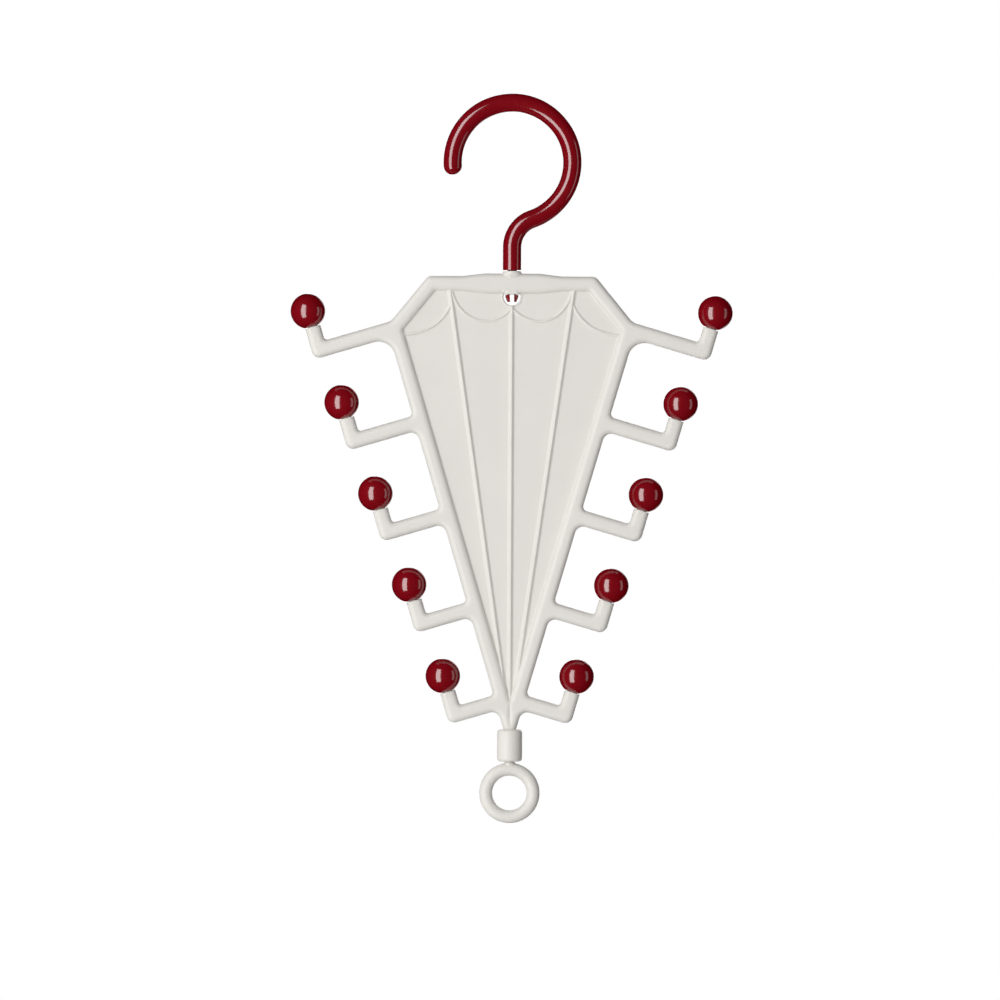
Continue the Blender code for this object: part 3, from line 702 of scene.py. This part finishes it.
def hook_centreline(layout):
    """Centreline and headings of the rod: round the loop, back through the reverse bend, and down."""
    hook = layout.hook
    loop = np.linspace(math.pi + math.asin(hook.tip_drop / hook.loop_radius), layout.loop_end, LOOP_STEPS)
    bend = np.linspace(math.pi + layout.loop_end, math.pi, BEND_STEPS)[1:]
    path = np.vstack((
        arc_of_path((0.0, layout.loop_z), hook.loop_radius, loop),
        arc_of_path((hook.reverse_radius, layout.bend_z), hook.reverse_radius, bend),
    ))
    headings = np.vstack((
        np.stack((np.sin(loop), -np.cos(loop)), axis=1),
        np.stack((-np.sin(bend), np.cos(bend)), axis=1),
    ))
    return path, headings


def snap_corners(hook, reach, gap):
    """Corners of a snap head's profile, as radius, distance along the shank and rounding."""
    shank, head, tip = hook.shank_diameter / 2, hook.head_diameter / 2, hook.tip_diameter / 2
    return [
        (shank, reach - hook.slot_depth + hook.head_length - gap, 0),
        (shank, reach, gap / 2),
        (head, reach, gap / 2),
        (head, reach + hook.lead_length, gap),
        (tip, reach + hook.head_length, 2 * gap),
        (hook.slot_width / 2 + gap / 2, reach + hook.head_length, 0),
    ]


def snap_prongs(hook, reach, gap, seat_z, onward):
    """The two prongs of a snap head, whose profile runs up (1) or down (-1) from a height."""
    profile = rounded(snap_corners(hook, reach, gap), SMALL_ARC_STEP)
    profile[:, 1] = seat_z + onward * profile[:, 1]
    return [prong(profile, hook.slot_width, side) for side in (1, -1)]


def hook_shell(layout):
    """Round rod with a round tip, its shank, and the two prongs of its snap head."""
    hook, gap = layout.hook, layout.body.fit_gap
    path, headings = hook_centreline(layout)
    first, heading = path[0], headings[0]
    turn = np.linspace(0.0, math.pi / 2, TIP_STEPS)[1:-1]
    tip = first - heading * layout.rod_radius * np.cos(turn)[:, None]
    edge = rounded([
        (layout.rod_radius, layout.bend_z, 0),
        (layout.rod_radius, layout.hook_shoulder_z, gap),
        (hook.shank_diameter / 2, layout.hook_shoulder_z, gap / 2),
        (hook.shank_diameter / 2, layout.snap_tip_z + hook.slot_depth, 0),
    ])[1:]
    down = np.stack((np.zeros(len(edge)), edge[:, 1]), axis=1)
    shank = swept(
        np.vstack((tip, path, down)),
        np.vstack((np.tile(heading, (len(tip), 1)), headings, np.tile((0.0, -1.0), (len(edge), 1)))),
        np.concatenate((layout.rod_radius * np.sin(turn), np.full(len(path), layout.rod_radius), edge[:, 0])),
        ROD_FACETS,
        start=(first[0] - heading[0] * layout.rod_radius, 0.0, first[1] - heading[1] * layout.rod_radius),
    )
    reach = layout.hook_shoulder_z - layout.ledge_z + gap
    return joined([shank] + snap_prongs(hook, reach, gap, layout.hook_shoulder_z, -1))


# The body


def arm_corners(layout, index):
    """Corners of a right arm: those above it up to its stub's end, and those from there on below it."""
    arms, body = layout.arms, layout.body
    root, elbow, end = layout.arm_root(index), layout.arm_elbow(index), layout.stub_end(index)
    above = -layout.down_side * arms.width / 2
    outward = layout.along_arm * arms.width / 2
    upper_root, upper, lower = root + above, arms.upper_fillet, arms.lower_fillet
    if index == 0:
        top_corner = np.array((body.top_width / 2, layout.rail_z))
        upper_root = crossing(top_corner, layout.shoulder - top_corner, upper_root, layout.along_arm)
        upper, lower = arms.first_upper_fillet, arms.first_lower_fillet
    over = [(*upper_root, upper), (*(elbow + above - outward), arms.elbow_inner), (*(end - outward), 0)]
    under = [(*(end + outward), 0), (*(elbow - above + outward), arms.elbow_outer), (*(root - above), lower)]
    return over, under


def body_edges(layout):
    """Rounded edges of the right half from the rail's middle down to the neck: one path from each
    stub's end to the next. The stubs' flat ends lie between them."""
    body = layout.body
    corners = [
        (0.0, layout.crown_z, 0),
        (body.crown_width / 2, layout.crown_z, body.crown_blend),
        (body.crown_foot_width / 2, layout.rail_z, body.crown_blend),
        (body.top_width / 2, layout.rail_z, body.top_corner_radius),
    ]
    edges = []
    for index in range(layout.arms.per_side):
        over, under = arm_corners(layout, index)
        edges.append(rounded(corners + over))
        corners = under
    buried_z = layout.neck_z - body.edge_radius - body.fit_gap
    corners += [(body.neck_width / 2, layout.neck_z, 0), (body.neck_width / 2, buried_z, 0)]
    edges.append(rounded(corners))
    return edges


def inset_corners(layout, inset):
    """Rail corner, shoulder and apex of the body's plain outline, drawn in by a distance."""
    body = layout.body
    slope = math.atan2((body.shoulder_width - body.top_width) / 2, body.shoulder_drop)
    corner_x = body.top_width / 2 - inset * math.tan((math.pi / 2 - slope) / 2)
    corner = np.array((corner_x, layout.rail_z - inset))
    inward = np.array((-math.cos(layout.lean), math.sin(layout.lean))) * inset
    down_slope = np.array((math.sin(slope), -math.cos(slope)))
    shoulder = crossing(corner, down_slope, layout.shoulder + inward, layout.down_side)
    apex = np.array((0.0, layout.apex_z + inset / math.sin(layout.lean)))
    return corner, shoulder, apex


def opening_edge(layout):
    """Inner edge of the rim on the right, from the apex up to the middle of the rail."""
    body = layout.body
    corner, shoulder, apex = inset_corners(layout, body.rim_width)
    return rounded([
        (*apex, 0),
        (*shoulder, body.inner_corner_radius),
        (*corner, body.inner_corner_radius),
        (body.crown_foot_width / 2, layout.rail_lower_z, body.crown_blend),
        (body.crown_width / 2, layout.rail_lower_z - body.crown_rise, body.crown_blend),
        (0.0, layout.rail_lower_z - body.crown_rise, 0),
    ])


def window_edge(layout):
    """Right half of the window's edge: round the circle from its lowest point, and back to the axis
    along the flat end of the hook's seat."""
    seat = math.asin((layout.ledge_z - layout.window_z) / layout.window_radius)
    angle = np.linspace(-math.pi / 2, seat, WINDOW_STEPS)
    arc = arc_of_path((0.0, layout.window_z), layout.window_radius, angle)
    arc[0, 0] = 0.0
    return np.vstack((arc, (0.0, layout.ledge_z)))


# Control points of the scallops, as shares of the rib foot's distance and of the scallop depth
INNER_SCALLOP_SHARES = ((0.015, 0.42), (0.36, 0.92), (0.88, 0.70), (0.98, -0.08))
OUTER_SCALLOP_SHARES = ((-0.05, 0.27), (0.10, 0.66), (0.38, 1.0), (1.0, 1.0))

# The rim's wall over the opening starts at this share of its height and rises with this power
WALL_START = 0.1
WALL_POWER = 0.6

# Rows of points that follow the relief: turns round the outer edges and round the window in degrees,
# and shares of the edge radius, of a line's half width, of the lip's width and of the valley's width
EDGE_TURNS = (8.0, 18.0, 30.0, 44.0, 60.0, 75.0, 90.0)
WALL_SHARES = np.array((-0.35, -0.22, -0.12, -0.05, 0.0, 0.02, 0.06, 0.13, 0.24, 0.4, 0.6, 0.8, 1.0))
LINE_SHARES = np.linspace(-1.25, 1.25, 11)
LIP_SHARES = (0.08, 0.16, 0.25, 0.4, 0.5, 0.6, 0.75, 0.9, 1.0, 1.2, *np.arange(-2.0, 0.01, 0.08))
LIP_TURNS = np.arange(-90.0, 90.0, 4.0)
VALLEY_SHARES = (0.0, 0.3, 0.6, 1.0, 1.5)


def raised_paths(layout):
    """Width, height and path of the middle rib, the right rib and the right scallops."""
    body = layout.body
    shoulder, apex = inset_corners(layout, body.rim_width)[1:]
    foot_x, hem_z = body.rib_foot_width / 2, layout.rail_lower_z
    edge_x = shoulder[0] + body.rim_width / 4
    inner = [(foot_x * x, hem_z - body.scallop_depth * z) for x, z in INNER_SCALLOP_SHARES]
    outer = [
        (foot_x + (edge_x - foot_x) * x, hem_z - body.scallop_depth * z) for x, z in OUTER_SCALLOP_SHARES]
    top_z = layout.window_z - layout.window_radius - body.lip_width / 2
    middle = np.array(((0.0, top_z), (0.0, apex[1] - body.rim_width)))
    side = np.array((
        (foot_x, hem_z + body.rim_width / 4), (body.rib_width / 2, apex[1] - body.rim_width / 2)))
    return [
        (body.rib_width, body.rib_height, middle),
        (body.rib_width, body.rib_height, side),
        (body.line_width, body.line_height, bezier(inner, SCALLOP_STEPS)),
        (body.line_width, body.line_height, bezier(outer, SCALLOP_STEPS)),
    ]


def folded(points):
    """Points with those of the left half moved to the right."""
    return np.abs(points) * (1, 0) + points * (0, 1)


def crest(part):
    """Cosine-squared ridge, cos(pi part / 2)^2, from its middle at 0 to its edge at 1."""
    return np.cos(np.clip(part, 0.0, 1.0) * math.pi / 2) ** 2


class BodyRelief:
    """Half depth of the body over its front view."""

    def __init__(self, layout):
        self.layout = layout
        self.edges = body_edges(layout)
        self.opening = opening_edge(layout)
        self.lines = raised_paths(layout)
        self.window = window_edge(layout)
        self.radius = layout.body.edge_radius
        self.half = layout.body.rim_thickness / 2
        self.panel = layout.body.panel_thickness / 2

    def half_depth(self, points):
        """Half depth at points of the front view. From an outer edge it rises as a quarter circle,
        flat + sqrt(r^2 - (r - d)^2). From the opening it rises from the panel as a steeper curve with
        a small hollow at its foot, and the lower of the two holds. Ribs and the window's lip are
        cosine-squared ridges, the lip fading out over the rail. The seat in the window lies back a
        little and has fine rings, height x cos(2 pi d / spacing), and its edge is rounded."""
        layout, body = self.layout, self.layout.body
        right = folded(points)
        near = np.minimum(distance_to(right, self.edges), self.radius)
        curve = np.sqrt(np.maximum(self.radius ** 2 - (self.radius - near) ** 2, 0.0))
        outer = self.half - self.radius + curve
        closed = np.vstack((self.opening, (0.0, self.opening[0, 1])))
        inside = is_inside(right + (NUDGE, 0.0), closed)
        gap = distance_to(right, [self.opening])
        height = self.half - self.panel
        rise = (1 - (1 - np.clip(gap / self.radius, 0.0, 1.0)) ** 2) ** WALL_POWER
        wall = self.panel + height * (WALL_START + (1 - WALL_START) * rise)
        foot = np.clip(1 - gap / body.line_height, 0.0, 1.0)
        hollow = self.panel + height * WALL_START * foot ** 2
        rim = np.minimum(outer, wall)
        ridge = np.full(len(points), self.panel)
        for line_width, line_height, path in self.lines:
            line = line_height * crest(distance_to(right, [path]) / (line_width / 2))
            ridge = np.maximum(ridge, self.panel + line)
        depth = np.where(inside, np.maximum(hollow, ridge), np.maximum(rim, np.minimum(ridge, outer)))
        below = np.clip((self.opening[0, 1] - right[:, 1]) / body.rim_width, 0.0, 1.0)
        above_neck = np.clip((right[:, 1] - layout.neck_z) / body.rim_width, 0.0, 1.0)
        groove = np.exp(-(right[:, 0] / (body.valley_width / 2)) ** 2)
        depth = depth - body.valley_depth * groove * below * above_neck
        away = np.hypot(right[:, 0], right[:, 1] - layout.window_z) - layout.window_radius
        below_rail = layout.rail_lower_z + body.lip_width - right[:, 1]
        fade = np.clip(below_rail / (2 * body.lip_width), 0.0, 1.0)
        depth = depth + body.lip_height * crest(np.abs(2 * away / body.lip_width - 1)) * fade
        seat = np.clip(-away / body.lip_width, 0.0, 1.0) ** 0.5
        turns = body.seat_ring_height * np.cos(2 * math.pi * away / body.seat_ring_spacing)
        depth = depth * (1 - seat) + (self.half - body.seat_ring_height + turns) * seat
        inner = np.clip(distance_to(right, [self.window]) / body.fit_gap, 0.0, 1.0)
        return depth - body.fit_gap * (1 - np.sqrt(np.maximum(1 - (1 - inner) ** 2, 0.0)))


def with_mirror(path):
    """Closed loop of a path that starts and ends on the axis, and its mirror image."""
    return np.vstack((path, path[-2:0:-1] * (-1, 1)))


def thinned(points, spacing):
    """Points with those dropped that share a cell of a grid with an earlier one."""
    first = np.unique(np.round(points / spacing).astype(np.int64), axis=0, return_index=True)[1]
    return points[np.sort(first)]


def relief_points(layout, relief, boundary, window, spacing):
    """Points that follow the body's edges, ribs, window lip and valley, and a coarse grid between."""
    body = layout.body
    turn = np.radians(EDGE_TURNS)
    rows = [beside(resampled(path, spacing), relief.radius * (1 - np.cos(turn))) for path in relief.edges]
    rows.append(beside(resampled(relief.opening, spacing), relief.radius * WALL_SHARES))
    for width, _, path in relief.lines:
        rows.append(beside(resampled(path, spacing * LINE_TIMES), width / 2 * LINE_SHARES))
    angle = np.radians(LIP_TURNS)
    for lip_share in LIP_SHARES:
        radius = layout.window_radius + body.lip_width * lip_share
        rows.append(arc_of_path((0.0, layout.window_z), radius, angle))
    valley_z = np.arange(layout.neck_z, relief.opening[0, 1] + body.rim_width, spacing)
    for valley_share in VALLEY_SHARES:
        valley_x = np.full(len(valley_z), body.valley_width * valley_share)
        rows.append(np.stack((valley_x, valley_z), axis=1))
    low, high, coarse = boundary.min(axis=0), boundary.max(axis=0), GRID_TIMES * spacing
    grid = np.meshgrid(np.arange(0.0, high[0], coarse), np.arange(low[1], high[1], coarse))
    rows.append(np.stack(grid, axis=-1).reshape(-1, 2))
    points = thinned(folded(np.vstack(rows)), spacing / CELL_PARTS)
    points = points[is_inside(points, with_mirror(boundary)) & ~is_inside(points, with_mirror(window))]
    points = points[distance_to(points, [boundary, window]) > spacing / OUTLINE_PARTS]
    on_axis = points[:, 0] < spacing / AXIS_PARTS
    points[on_axis, 0] = 0.0
    return np.vstack((points, points[~on_axis] * (-1, 1)))


def body_shell(layout, spacing=RELIEF_SPACING):
    """Body as two sheets, y = -H and y = +H over one triangulation of the front view, joined all
    round its outer boundary and round the window by a band of quads."""
    relief = BodyRelief(layout)
    boundary = resampled(np.vstack((*relief.edges, (0.0, relief.edges[-1][-1, 1]))), spacing)
    window = resampled(relief.window, spacing / WINDOW_PARTS)
    loops = [with_mirror(boundary), with_mirror(window)]
    inner = relief_points(layout, relief, boundary, window, spacing)
    numbers = np.arange(len(loops[0])), len(loops[0]) + np.arange(len(loops[1]))
    sides = np.vstack([np.stack((number, np.roll(number, -1)), axis=1) for number in numbers])
    corners = [Vector(point) for point in np.vstack((*loops, inner)).tolist()]
    result = delaunay_2d_cdt(corners, sides.tolist(), [], ENCLOSED, MERGE_DISTANCE)
    flat = np.array([tuple(point) for point in result[0]])
    faces = np.array(result[2])
    faces = faces[~is_inside(flat[faces].mean(axis=1), loops[1])]
    depth = relief.half_depth(flat)
    count = len(flat)
    points = np.vstack((
        np.stack((flat[:, 0], -depth, flat[:, 1]), axis=1),
        np.stack((flat[:, 0], depth, flat[:, 1]), axis=1),
    ))
    edges = np.vstack((faces[:, (0, 1)], faces[:, (1, 2)], faces[:, (2, 0)]))
    keys, first, used = np.unique(np.sort(edges, axis=1), axis=0, return_index=True, return_counts=True)
    rim = edges[first[used == 1]]
    band = np.stack((rim[:, 1], rim[:, 0], rim[:, 0] + count, rim[:, 1] + count), axis=1)
    return points, faces.tolist() + (faces[:, ::-1] + count).tolist() + band.tolist()


def collar_shell(layout):
    """Collar round the hook's bore. Its closed profile of (radius, height) is turned about Z, and its
    outside is then pressed in depth, y = depth x sin t, from the collar's radius down to a little less
    than the rail's half depth, as a smooth step s^2 (3 - 2 s) in height."""
    body = layout.body
    bore, radius = layout.hook.shank_diameter / 2 + body.fit_gap, body.collar_diameter / 2
    gap, flare = body.fit_gap, body.collar_flare
    top_z, foot_z = layout.crown_z + flare / 2, layout.rail_z - 2 * flare
    points, faces = turned(resampled(rounded([
        (bore, layout.collar_top_z, gap / 2),
        (radius, layout.collar_top_z, gap),
        (radius, top_z, 4 * gap),
        (radius + flare, layout.crown_z - flare / 2, gap),
        (radius + flare, foot_z, gap),
        (bore, foot_z, gap / 2),
        (bore, layout.collar_top_z, 0),
    ], SMALL_ARC_STEP), gap)[:-1], ROUND_FACETS, looped=True)
    down = np.clip((top_z - points[:, 2]) / (top_z - foot_z), 0.0, 1.0)
    reach = np.hypot(points[:, 0], points[:, 1])
    depth = radius + (body.rim_thickness / 2 - gap / 2 - radius) * down ** 2 * (3 - 2 * down)
    outer = np.clip((reach - bore) / (radius - bore), 0.0, 1.0)
    press = 1 + (np.minimum(1.0, depth / reach) - 1) * outer
    return points * np.stack((np.ones(len(points)), press, np.ones(len(points))), axis=1), faces


def bore_shell(layout):
    """Space of the hook's bore, from above the collar down into the window."""
    radius = layout.hook.shank_diameter / 2 + layout.body.fit_gap
    top, bottom = layout.collar_top_z + radius, layout.ledge_z - radius / 2
    return turned([(0.0, top), (radius, top), (radius, bottom), (0.0, bottom)], BORE_FACETS)


def barrel_shell(layout):
    """Barrel with the ring's throat and snap chamber: an open profile turned about Z."""
    body, hook = layout.body, layout.hook
    radius, throat = body.barrel_diameter / 2, hook.shank_diameter / 2 + body.fit_gap
    chamber = hook.head_diameter / 2 + body.chamber_clearance
    ledge = layout.barrel_z + body.throat_length
    top = ledge + hook.head_length + body.chamber_clearance + body.fit_gap
    return turned(rounded([
        (0.0, layout.neck_z, 0),
        (radius, layout.neck_z, body.barrel_edge),
        (radius, layout.barrel_z, body.barrel_edge),
        (throat, layout.barrel_z, body.fit_gap / 2),
        (throat, ledge, 0),
        (chamber, ledge, 0),
        (chamber, top, 0),
        (0.0, top, 0),
    ]), ROUND_FACETS)


def spigot_shell(layout):
    """Pins on the ends of all the stubs."""
    arms = layout.arms
    radius = arms.spigot_diameter / 2
    pin = turned(rounded([
        (0.0, arms.spigot_length, 0),
        (radius, arms.spigot_length, radius / 4),
        (radius, -arms.spigot_diameter, 0),
        (0.0, -arms.spigot_diameter, 0),
    ]), SPIGOT_FACETS)
    return joined([
        placed(pin, layout.upright_at(layout.stub_end(index), side))
        for side in (1, -1) for index in range(arms.per_side)
    ])


# The ball caps and the ring


def cap_shell(layout):
    """Ball with a flat seat and a blind socket, about its own centre."""
    arms, gap = layout.arms, layout.body.fit_gap
    socket = arms.spigot_diameter / 2 + gap
    socket_top = -layout.seat_drop - gap + arms.spigot_length + gap
    lowest = math.pi - math.asin(layout.seat_radius / layout.ball_radius)
    turn = np.linspace(0.0, lowest, BALL_STEPS)[:-1]
    ball = layout.ball_radius * np.stack((np.sin(turn), np.cos(turn)), axis=1)
    ball[0, 0] = 0.0
    seat = rounded([
        (*ball[-1], 0),
        (layout.seat_radius, -layout.seat_drop, arms.ball_edge),
        (socket, -layout.seat_drop, gap / 2),
        (socket, socket_top, 0),
        (0.0, socket_top, 0),
    ], SMALL_ARC_STEP)[1:]
    return turned(np.vstack((ball, seat)), ROUND_FACETS)


def ring_shell(layout):
    """Ring, its stem, and the two prongs of its snap pin."""
    ring, hook, gap = layout.ring, layout.hook, layout.body.fit_gap
    tube = ring.tube_diameter / 2
    mean = ring.hole_diameter / 2 + tube
    angle = 2 * math.pi * np.arange(RING_STEPS) / RING_STEPS
    circle = arc_of_path((0.0, layout.ring_top_z - tube - mean), mean, angle)
    headings = np.stack((np.sin(angle), -np.cos(angle)), axis=1)
    loop = swept(circle, headings, np.full(len(angle), tube), ROD_FACETS, looped=True)
    stem, shank = ring.stem_diameter / 2, hook.shank_diameter / 2
    reach = layout.body.throat_length + gap
    slot_z = layout.barrel_z + reach + hook.head_length - hook.slot_depth
    pin = turned(rounded([
        (0.0, layout.ring_top_z - tube, 0),
        (stem, layout.ring_top_z - tube, 0),
        (stem, layout.barrel_z - gap, gap / 2),
        (shank, layout.barrel_z - gap, 0),
        (shank, slot_z, 0),
        (0.0, slot_z, 0),
    ]), BORE_FACETS)
    return joined([loop, pin] + snap_prongs(hook, reach, gap, layout.barrel_z, 1))


# Operators


class HANGER_OT_hook(bpy.types.Operator):
    """Add the swivel hook"""

    bl_idname = "hanger.hook"
    bl_label = "Hook"

    def execute(self, context):
        """Build the hook and its snap head."""
        material = red_plastic("hook_red", context.scene.hanger_plastics)
        shell = hook_shell(Layout(context.scene))
        add_piece("hook_rod", shell, material, "hook", ["swivel_hook"])
        return {'FINISHED'}


class HANGER_OT_body(bpy.types.Operator):
    """Add the umbrella-shaped body with its arms"""

    bl_idname = "hanger.body"
    bl_label = "Body"

    def execute(self, context):
        """Build the body's shell, the collar, the barrel and the spigots."""
        layout = Layout(context.scene)
        material = ivory_plastic("body_ivory", context.scene.hanger_plastics)
        add_piece("umbrella_shell", body_shell(layout), material, "umbrella",
                  ["umbrella_body"], BODY_SHARP_ANGLE, bore_shell(layout))
        for name, shell_of in (
            ("swivel_collar", collar_shell),
            ("foot_barrel", barrel_shell),
            ("arm_spigots", spigot_shell),
        ):
            add_piece(name, shell_of(layout), material, "umbrella")
        return {'FINISHED'}


class HANGER_OT_caps(bpy.types.Operator):
    """Add the ball caps on the arms"""

    bl_idname = "hanger.caps"
    bl_label = "Ball caps"

    def execute(self, context):
        """Build one ball cap for each arm."""
        layout = Layout(context.scene)
        material = red_plastic("cap_red", context.scene.hanger_plastics)
        shell = cap_shell(layout)
        for side, side_name in ((-1, "left"), (1, "right")):
            for index in range(layout.arms.per_side):
                place = layout.upright_at(layout.ball_centre(index), side)
                node = f"ball_cap_{side_name}_{index + 1}"
                name = f"ball_{side_name}_{index + 1}"
                add_piece(name, placed(shell, place), material, "umbrella", [node])
        return {'FINISHED'}


class HANGER_OT_ring(bpy.types.Operator):
    """Add the link ring"""

    bl_idname = "hanger.ring"
    bl_label = "Link ring"

    def execute(self, context):
        """Build the ring and its snap pin."""
        material = ivory_plastic("ring_ivory", context.scene.hanger_plastics)
        shell = ring_shell(Layout(context.scene))
        add_piece("ring_loop", shell, material, "ring", ["link_ring"])
        return {'FINISHED'}


# The stage

# Name of each lamp, its turn from the camera's side, half its width and half its height as seen from the
# hanger, all in degrees, its share of the lamp distance, the setting of its power, and whether it lights
# matt surfaces and shows in reflections
LAMPS = (
    ("key_softbox", -34.0, 18.5, 28.0, 1.0, "key_power", True, False),
    ("key_shine", -33.5, 15.0, 39.5, 0.95, "shine_power", False, True),
    ("side_strip", 70.0, 7.5, 25.0, 1.0, "strip_power", False, True),
    ("back_softbox", 180.0, 22.0, 35.0, 1.0, "back_power", True, False),
    ("back_shine", 165.0, 22.0, 35.0, 0.95, "back_shine_power", False, True),
)

# The screen behind fades in while a direction's share along Y grows between these
SCREEN_EDGE = (0.96, 1.0)

# Direction away from the bright walls, and between which shares along it their light fades
DARK_SIDE = (0.66, 0.75, 0.05)
WALL_EDGE = (-0.05, 0.15)


def add_softbox(name, azimuth, distance, target, size, energy, diffuse, glossy):
    """Rectangular lamp turned from the camera's side, facing the hanger's middle. It lights matt
    surfaces where diffuse is on, and shows in reflections where glossy is on."""
    data = bpy.data.lights.new(name, 'AREA')
    data.shape = 'RECTANGLE'
    data.size, data.size_y = size
    data.energy = energy
    lamp = bpy.data.objects.new(name, data)
    away = Vector((math.sin(azimuth), -math.cos(azimuth), 0.0))
    lamp.location = target + away * distance
    lamp.rotation_euler = (-away).to_track_quat('-Z', 'Y').to_euler()
    lamp.visible_camera = False
    lamp.visible_diffuse = diffuse
    lamp.visible_glossy = glossy
    bpy.context.scene.collection.objects.link(lamp)


def combined(nodes, links, operation, first, second):
    """Result of a Math node for two values."""
    node = nodes.new("ShaderNodeMath")
    node.operation = operation
    links.new(first, node.inputs[0])
    links.new(second, node.inputs[1])
    return node.outputs["Value"]


def white_room(world, studio):
    """White background for the camera. Reflections show it where it is, a screen straight behind the
    hanger, and otherwise a dark room. The walls' soft light comes from the front and the left."""
    world.use_nodes = True
    nodes, links = world.node_tree.nodes, world.node_tree.links
    nodes.clear()
    ray = nodes.new("ShaderNodeLightPath").outputs
    direction = nodes.new("ShaderNodeTexCoord").outputs["Generated"]
    parts = nodes.new("ShaderNodeSeparateXYZ")
    links.new(direction, parts.inputs["Vector"])
    screen = ramped(nodes, links, parts.outputs["Y"], *SCREEN_EDGE, 0.0, 1.0)
    mirrored = combined(nodes, links, 'MAXIMUM', ray["Is Glossy Ray"], ray["Is Transmission Ray"])
    reflected = combined(nodes, links, 'MULTIPLY', mirrored, screen)
    white = combined(nodes, links, 'MAXIMUM', reflected, ray["Is Camera Ray"])
    tilt = nodes.new("ShaderNodeVectorMath")
    tilt.operation = 'DOT_PRODUCT'
    tilt.inputs[1].default_value = DARK_SIDE
    links.new(direction, tilt.inputs[0])
    walls = ramped(
        nodes, links, tilt.outputs["Value"], *WALL_EDGE, studio.front_fill, studio.back_fill)
    soft = combined(nodes, links, 'MULTIPLY', walls, ray["Is Diffuse Ray"])
    background = nodes.new("ShaderNodeBackground")
    background.inputs["Color"].default_value = (1.0, 1.0, 1.0, 1.0)
    links.new(combined(nodes, links, 'ADD', white, soft), background.inputs["Strength"])
    links.new(background.outputs["Background"], nodes.new("ShaderNodeOutputWorld").inputs["Surface"])


class HANGER_OT_stage(bpy.types.Operator):
    """Add the floor, the lamps, the white room and the camera"""

    bl_idname = "hanger.stage"
    bl_label = "Stage"

    def execute(self, context):
        """Build the studio."""
        scene, studio = context.scene, context.scene.hanger_studio
        scene.view_settings.view_transform = 'Standard'
        half = studio.floor_width / 2
        corners = [(-half, -half), (half, -half), (half, half), (-half, half)]
        mesh = bpy.data.meshes.new("floor")
        mesh.from_pydata([(x, y, -studio.floor_drop) for x, y in corners], [], [(0, 1, 2, 3)])
        mesh.materials.append(floor_paint("floor_paint"))
        floor = bpy.data.objects.new("floor", mesh)
        floor.visible_glossy = False
        scene.collection.objects.link(floor)
        floor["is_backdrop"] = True
        low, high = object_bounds()
        target = Vector((0.0, 0.0, (low[2] + high[2]) / 2))
        for name, azimuth, half_width, half_height, nearer, power_name, diffuse, glossy in LAMPS:
            distance = studio.lamp_distance * nearer
            size = [2 * distance * math.tan(math.radians(angle)) for angle in (half_width, half_height)]
            energy = getattr(studio, power_name)
            add_softbox(name, math.radians(azimuth), distance, target, size, energy, diffuse, glossy)
        scene.world = bpy.data.worlds.new("white_room")
        white_room(scene.world, studio)
        data = bpy.data.cameras.new("camera")
        data.lens = data.sensor_width * studio.camera_distance / studio.view_width
        camera = bpy.data.objects.new("camera", data)
        turn = Matrix.Rotation(math.pi / 2, 4, 'X') @ Matrix.Rotation(studio.roll, 4, 'Z')
        place = Matrix.Translation((studio.view_across, -studio.camera_distance, studio.view_height))
        camera.matrix_world = place @ turn
        scene.collection.objects.link(camera)
        scene.camera = camera
        return {'FINISHED'}


class HANGER_PT_sidebar(bpy.types.Panel):
    """Panel that lists the hanger's pieces, sizes and finishes"""

    bl_idname = "HANGER_PT_sidebar"
    bl_label = "Umbrella hanger"
    bl_space_type = 'VIEW_3D'
    bl_region_type = 'UI'
    bl_category = "Hanger"

    def draw(self, context):
        """List the operators, then every setting."""
        for operator in OPERATORS:
            self.layout.operator(operator.bl_idname)
        for attribute in SETTINGS:
            group = getattr(context.scene, attribute)
            box = self.layout.box()
            for name in group.__annotations__:
                box.prop(group, name)


OPERATORS = (HANGER_OT_hook, HANGER_OT_body, HANGER_OT_caps, HANGER_OT_ring, HANGER_OT_stage)
SETTINGS = {
    "hanger_hook": HangerHook,
    "hanger_body": HangerBody,
    "hanger_arms": HangerArms,
    "hanger_ring": HangerRing,
    "hanger_plastics": HangerPlastics,
    "hanger_studio": HangerStudio,
}


def register():
    """Register the settings, the operators and the panel."""
    for attribute, group in SETTINGS.items():
        bpy.utils.register_class(group)
        setattr(bpy.types.Scene, attribute, PointerProperty(type=group))
    for operator in OPERATORS:
        bpy.utils.register_class(operator)
    bpy.utils.register_class(HANGER_PT_sidebar)


def unregister():
    """Remove what register added, in reverse."""
    bpy.utils.unregister_class(HANGER_PT_sidebar)
    for operator in reversed(OPERATORS):
        bpy.utils.unregister_class(operator)
    for attribute, group in reversed(SETTINGS.items()):
        delattr(bpy.types.Scene, attribute)
        bpy.utils.unregister_class(group)


def main():
    """Build every piece and the stage."""
    register()
    bpy.ops.hanger.hook()
    bpy.ops.hanger.body()
    bpy.ops.hanger.caps()
    bpy.ops.hanger.ring()
    bpy.ops.hanger.stage()


if __name__ == "__main__":
    main()
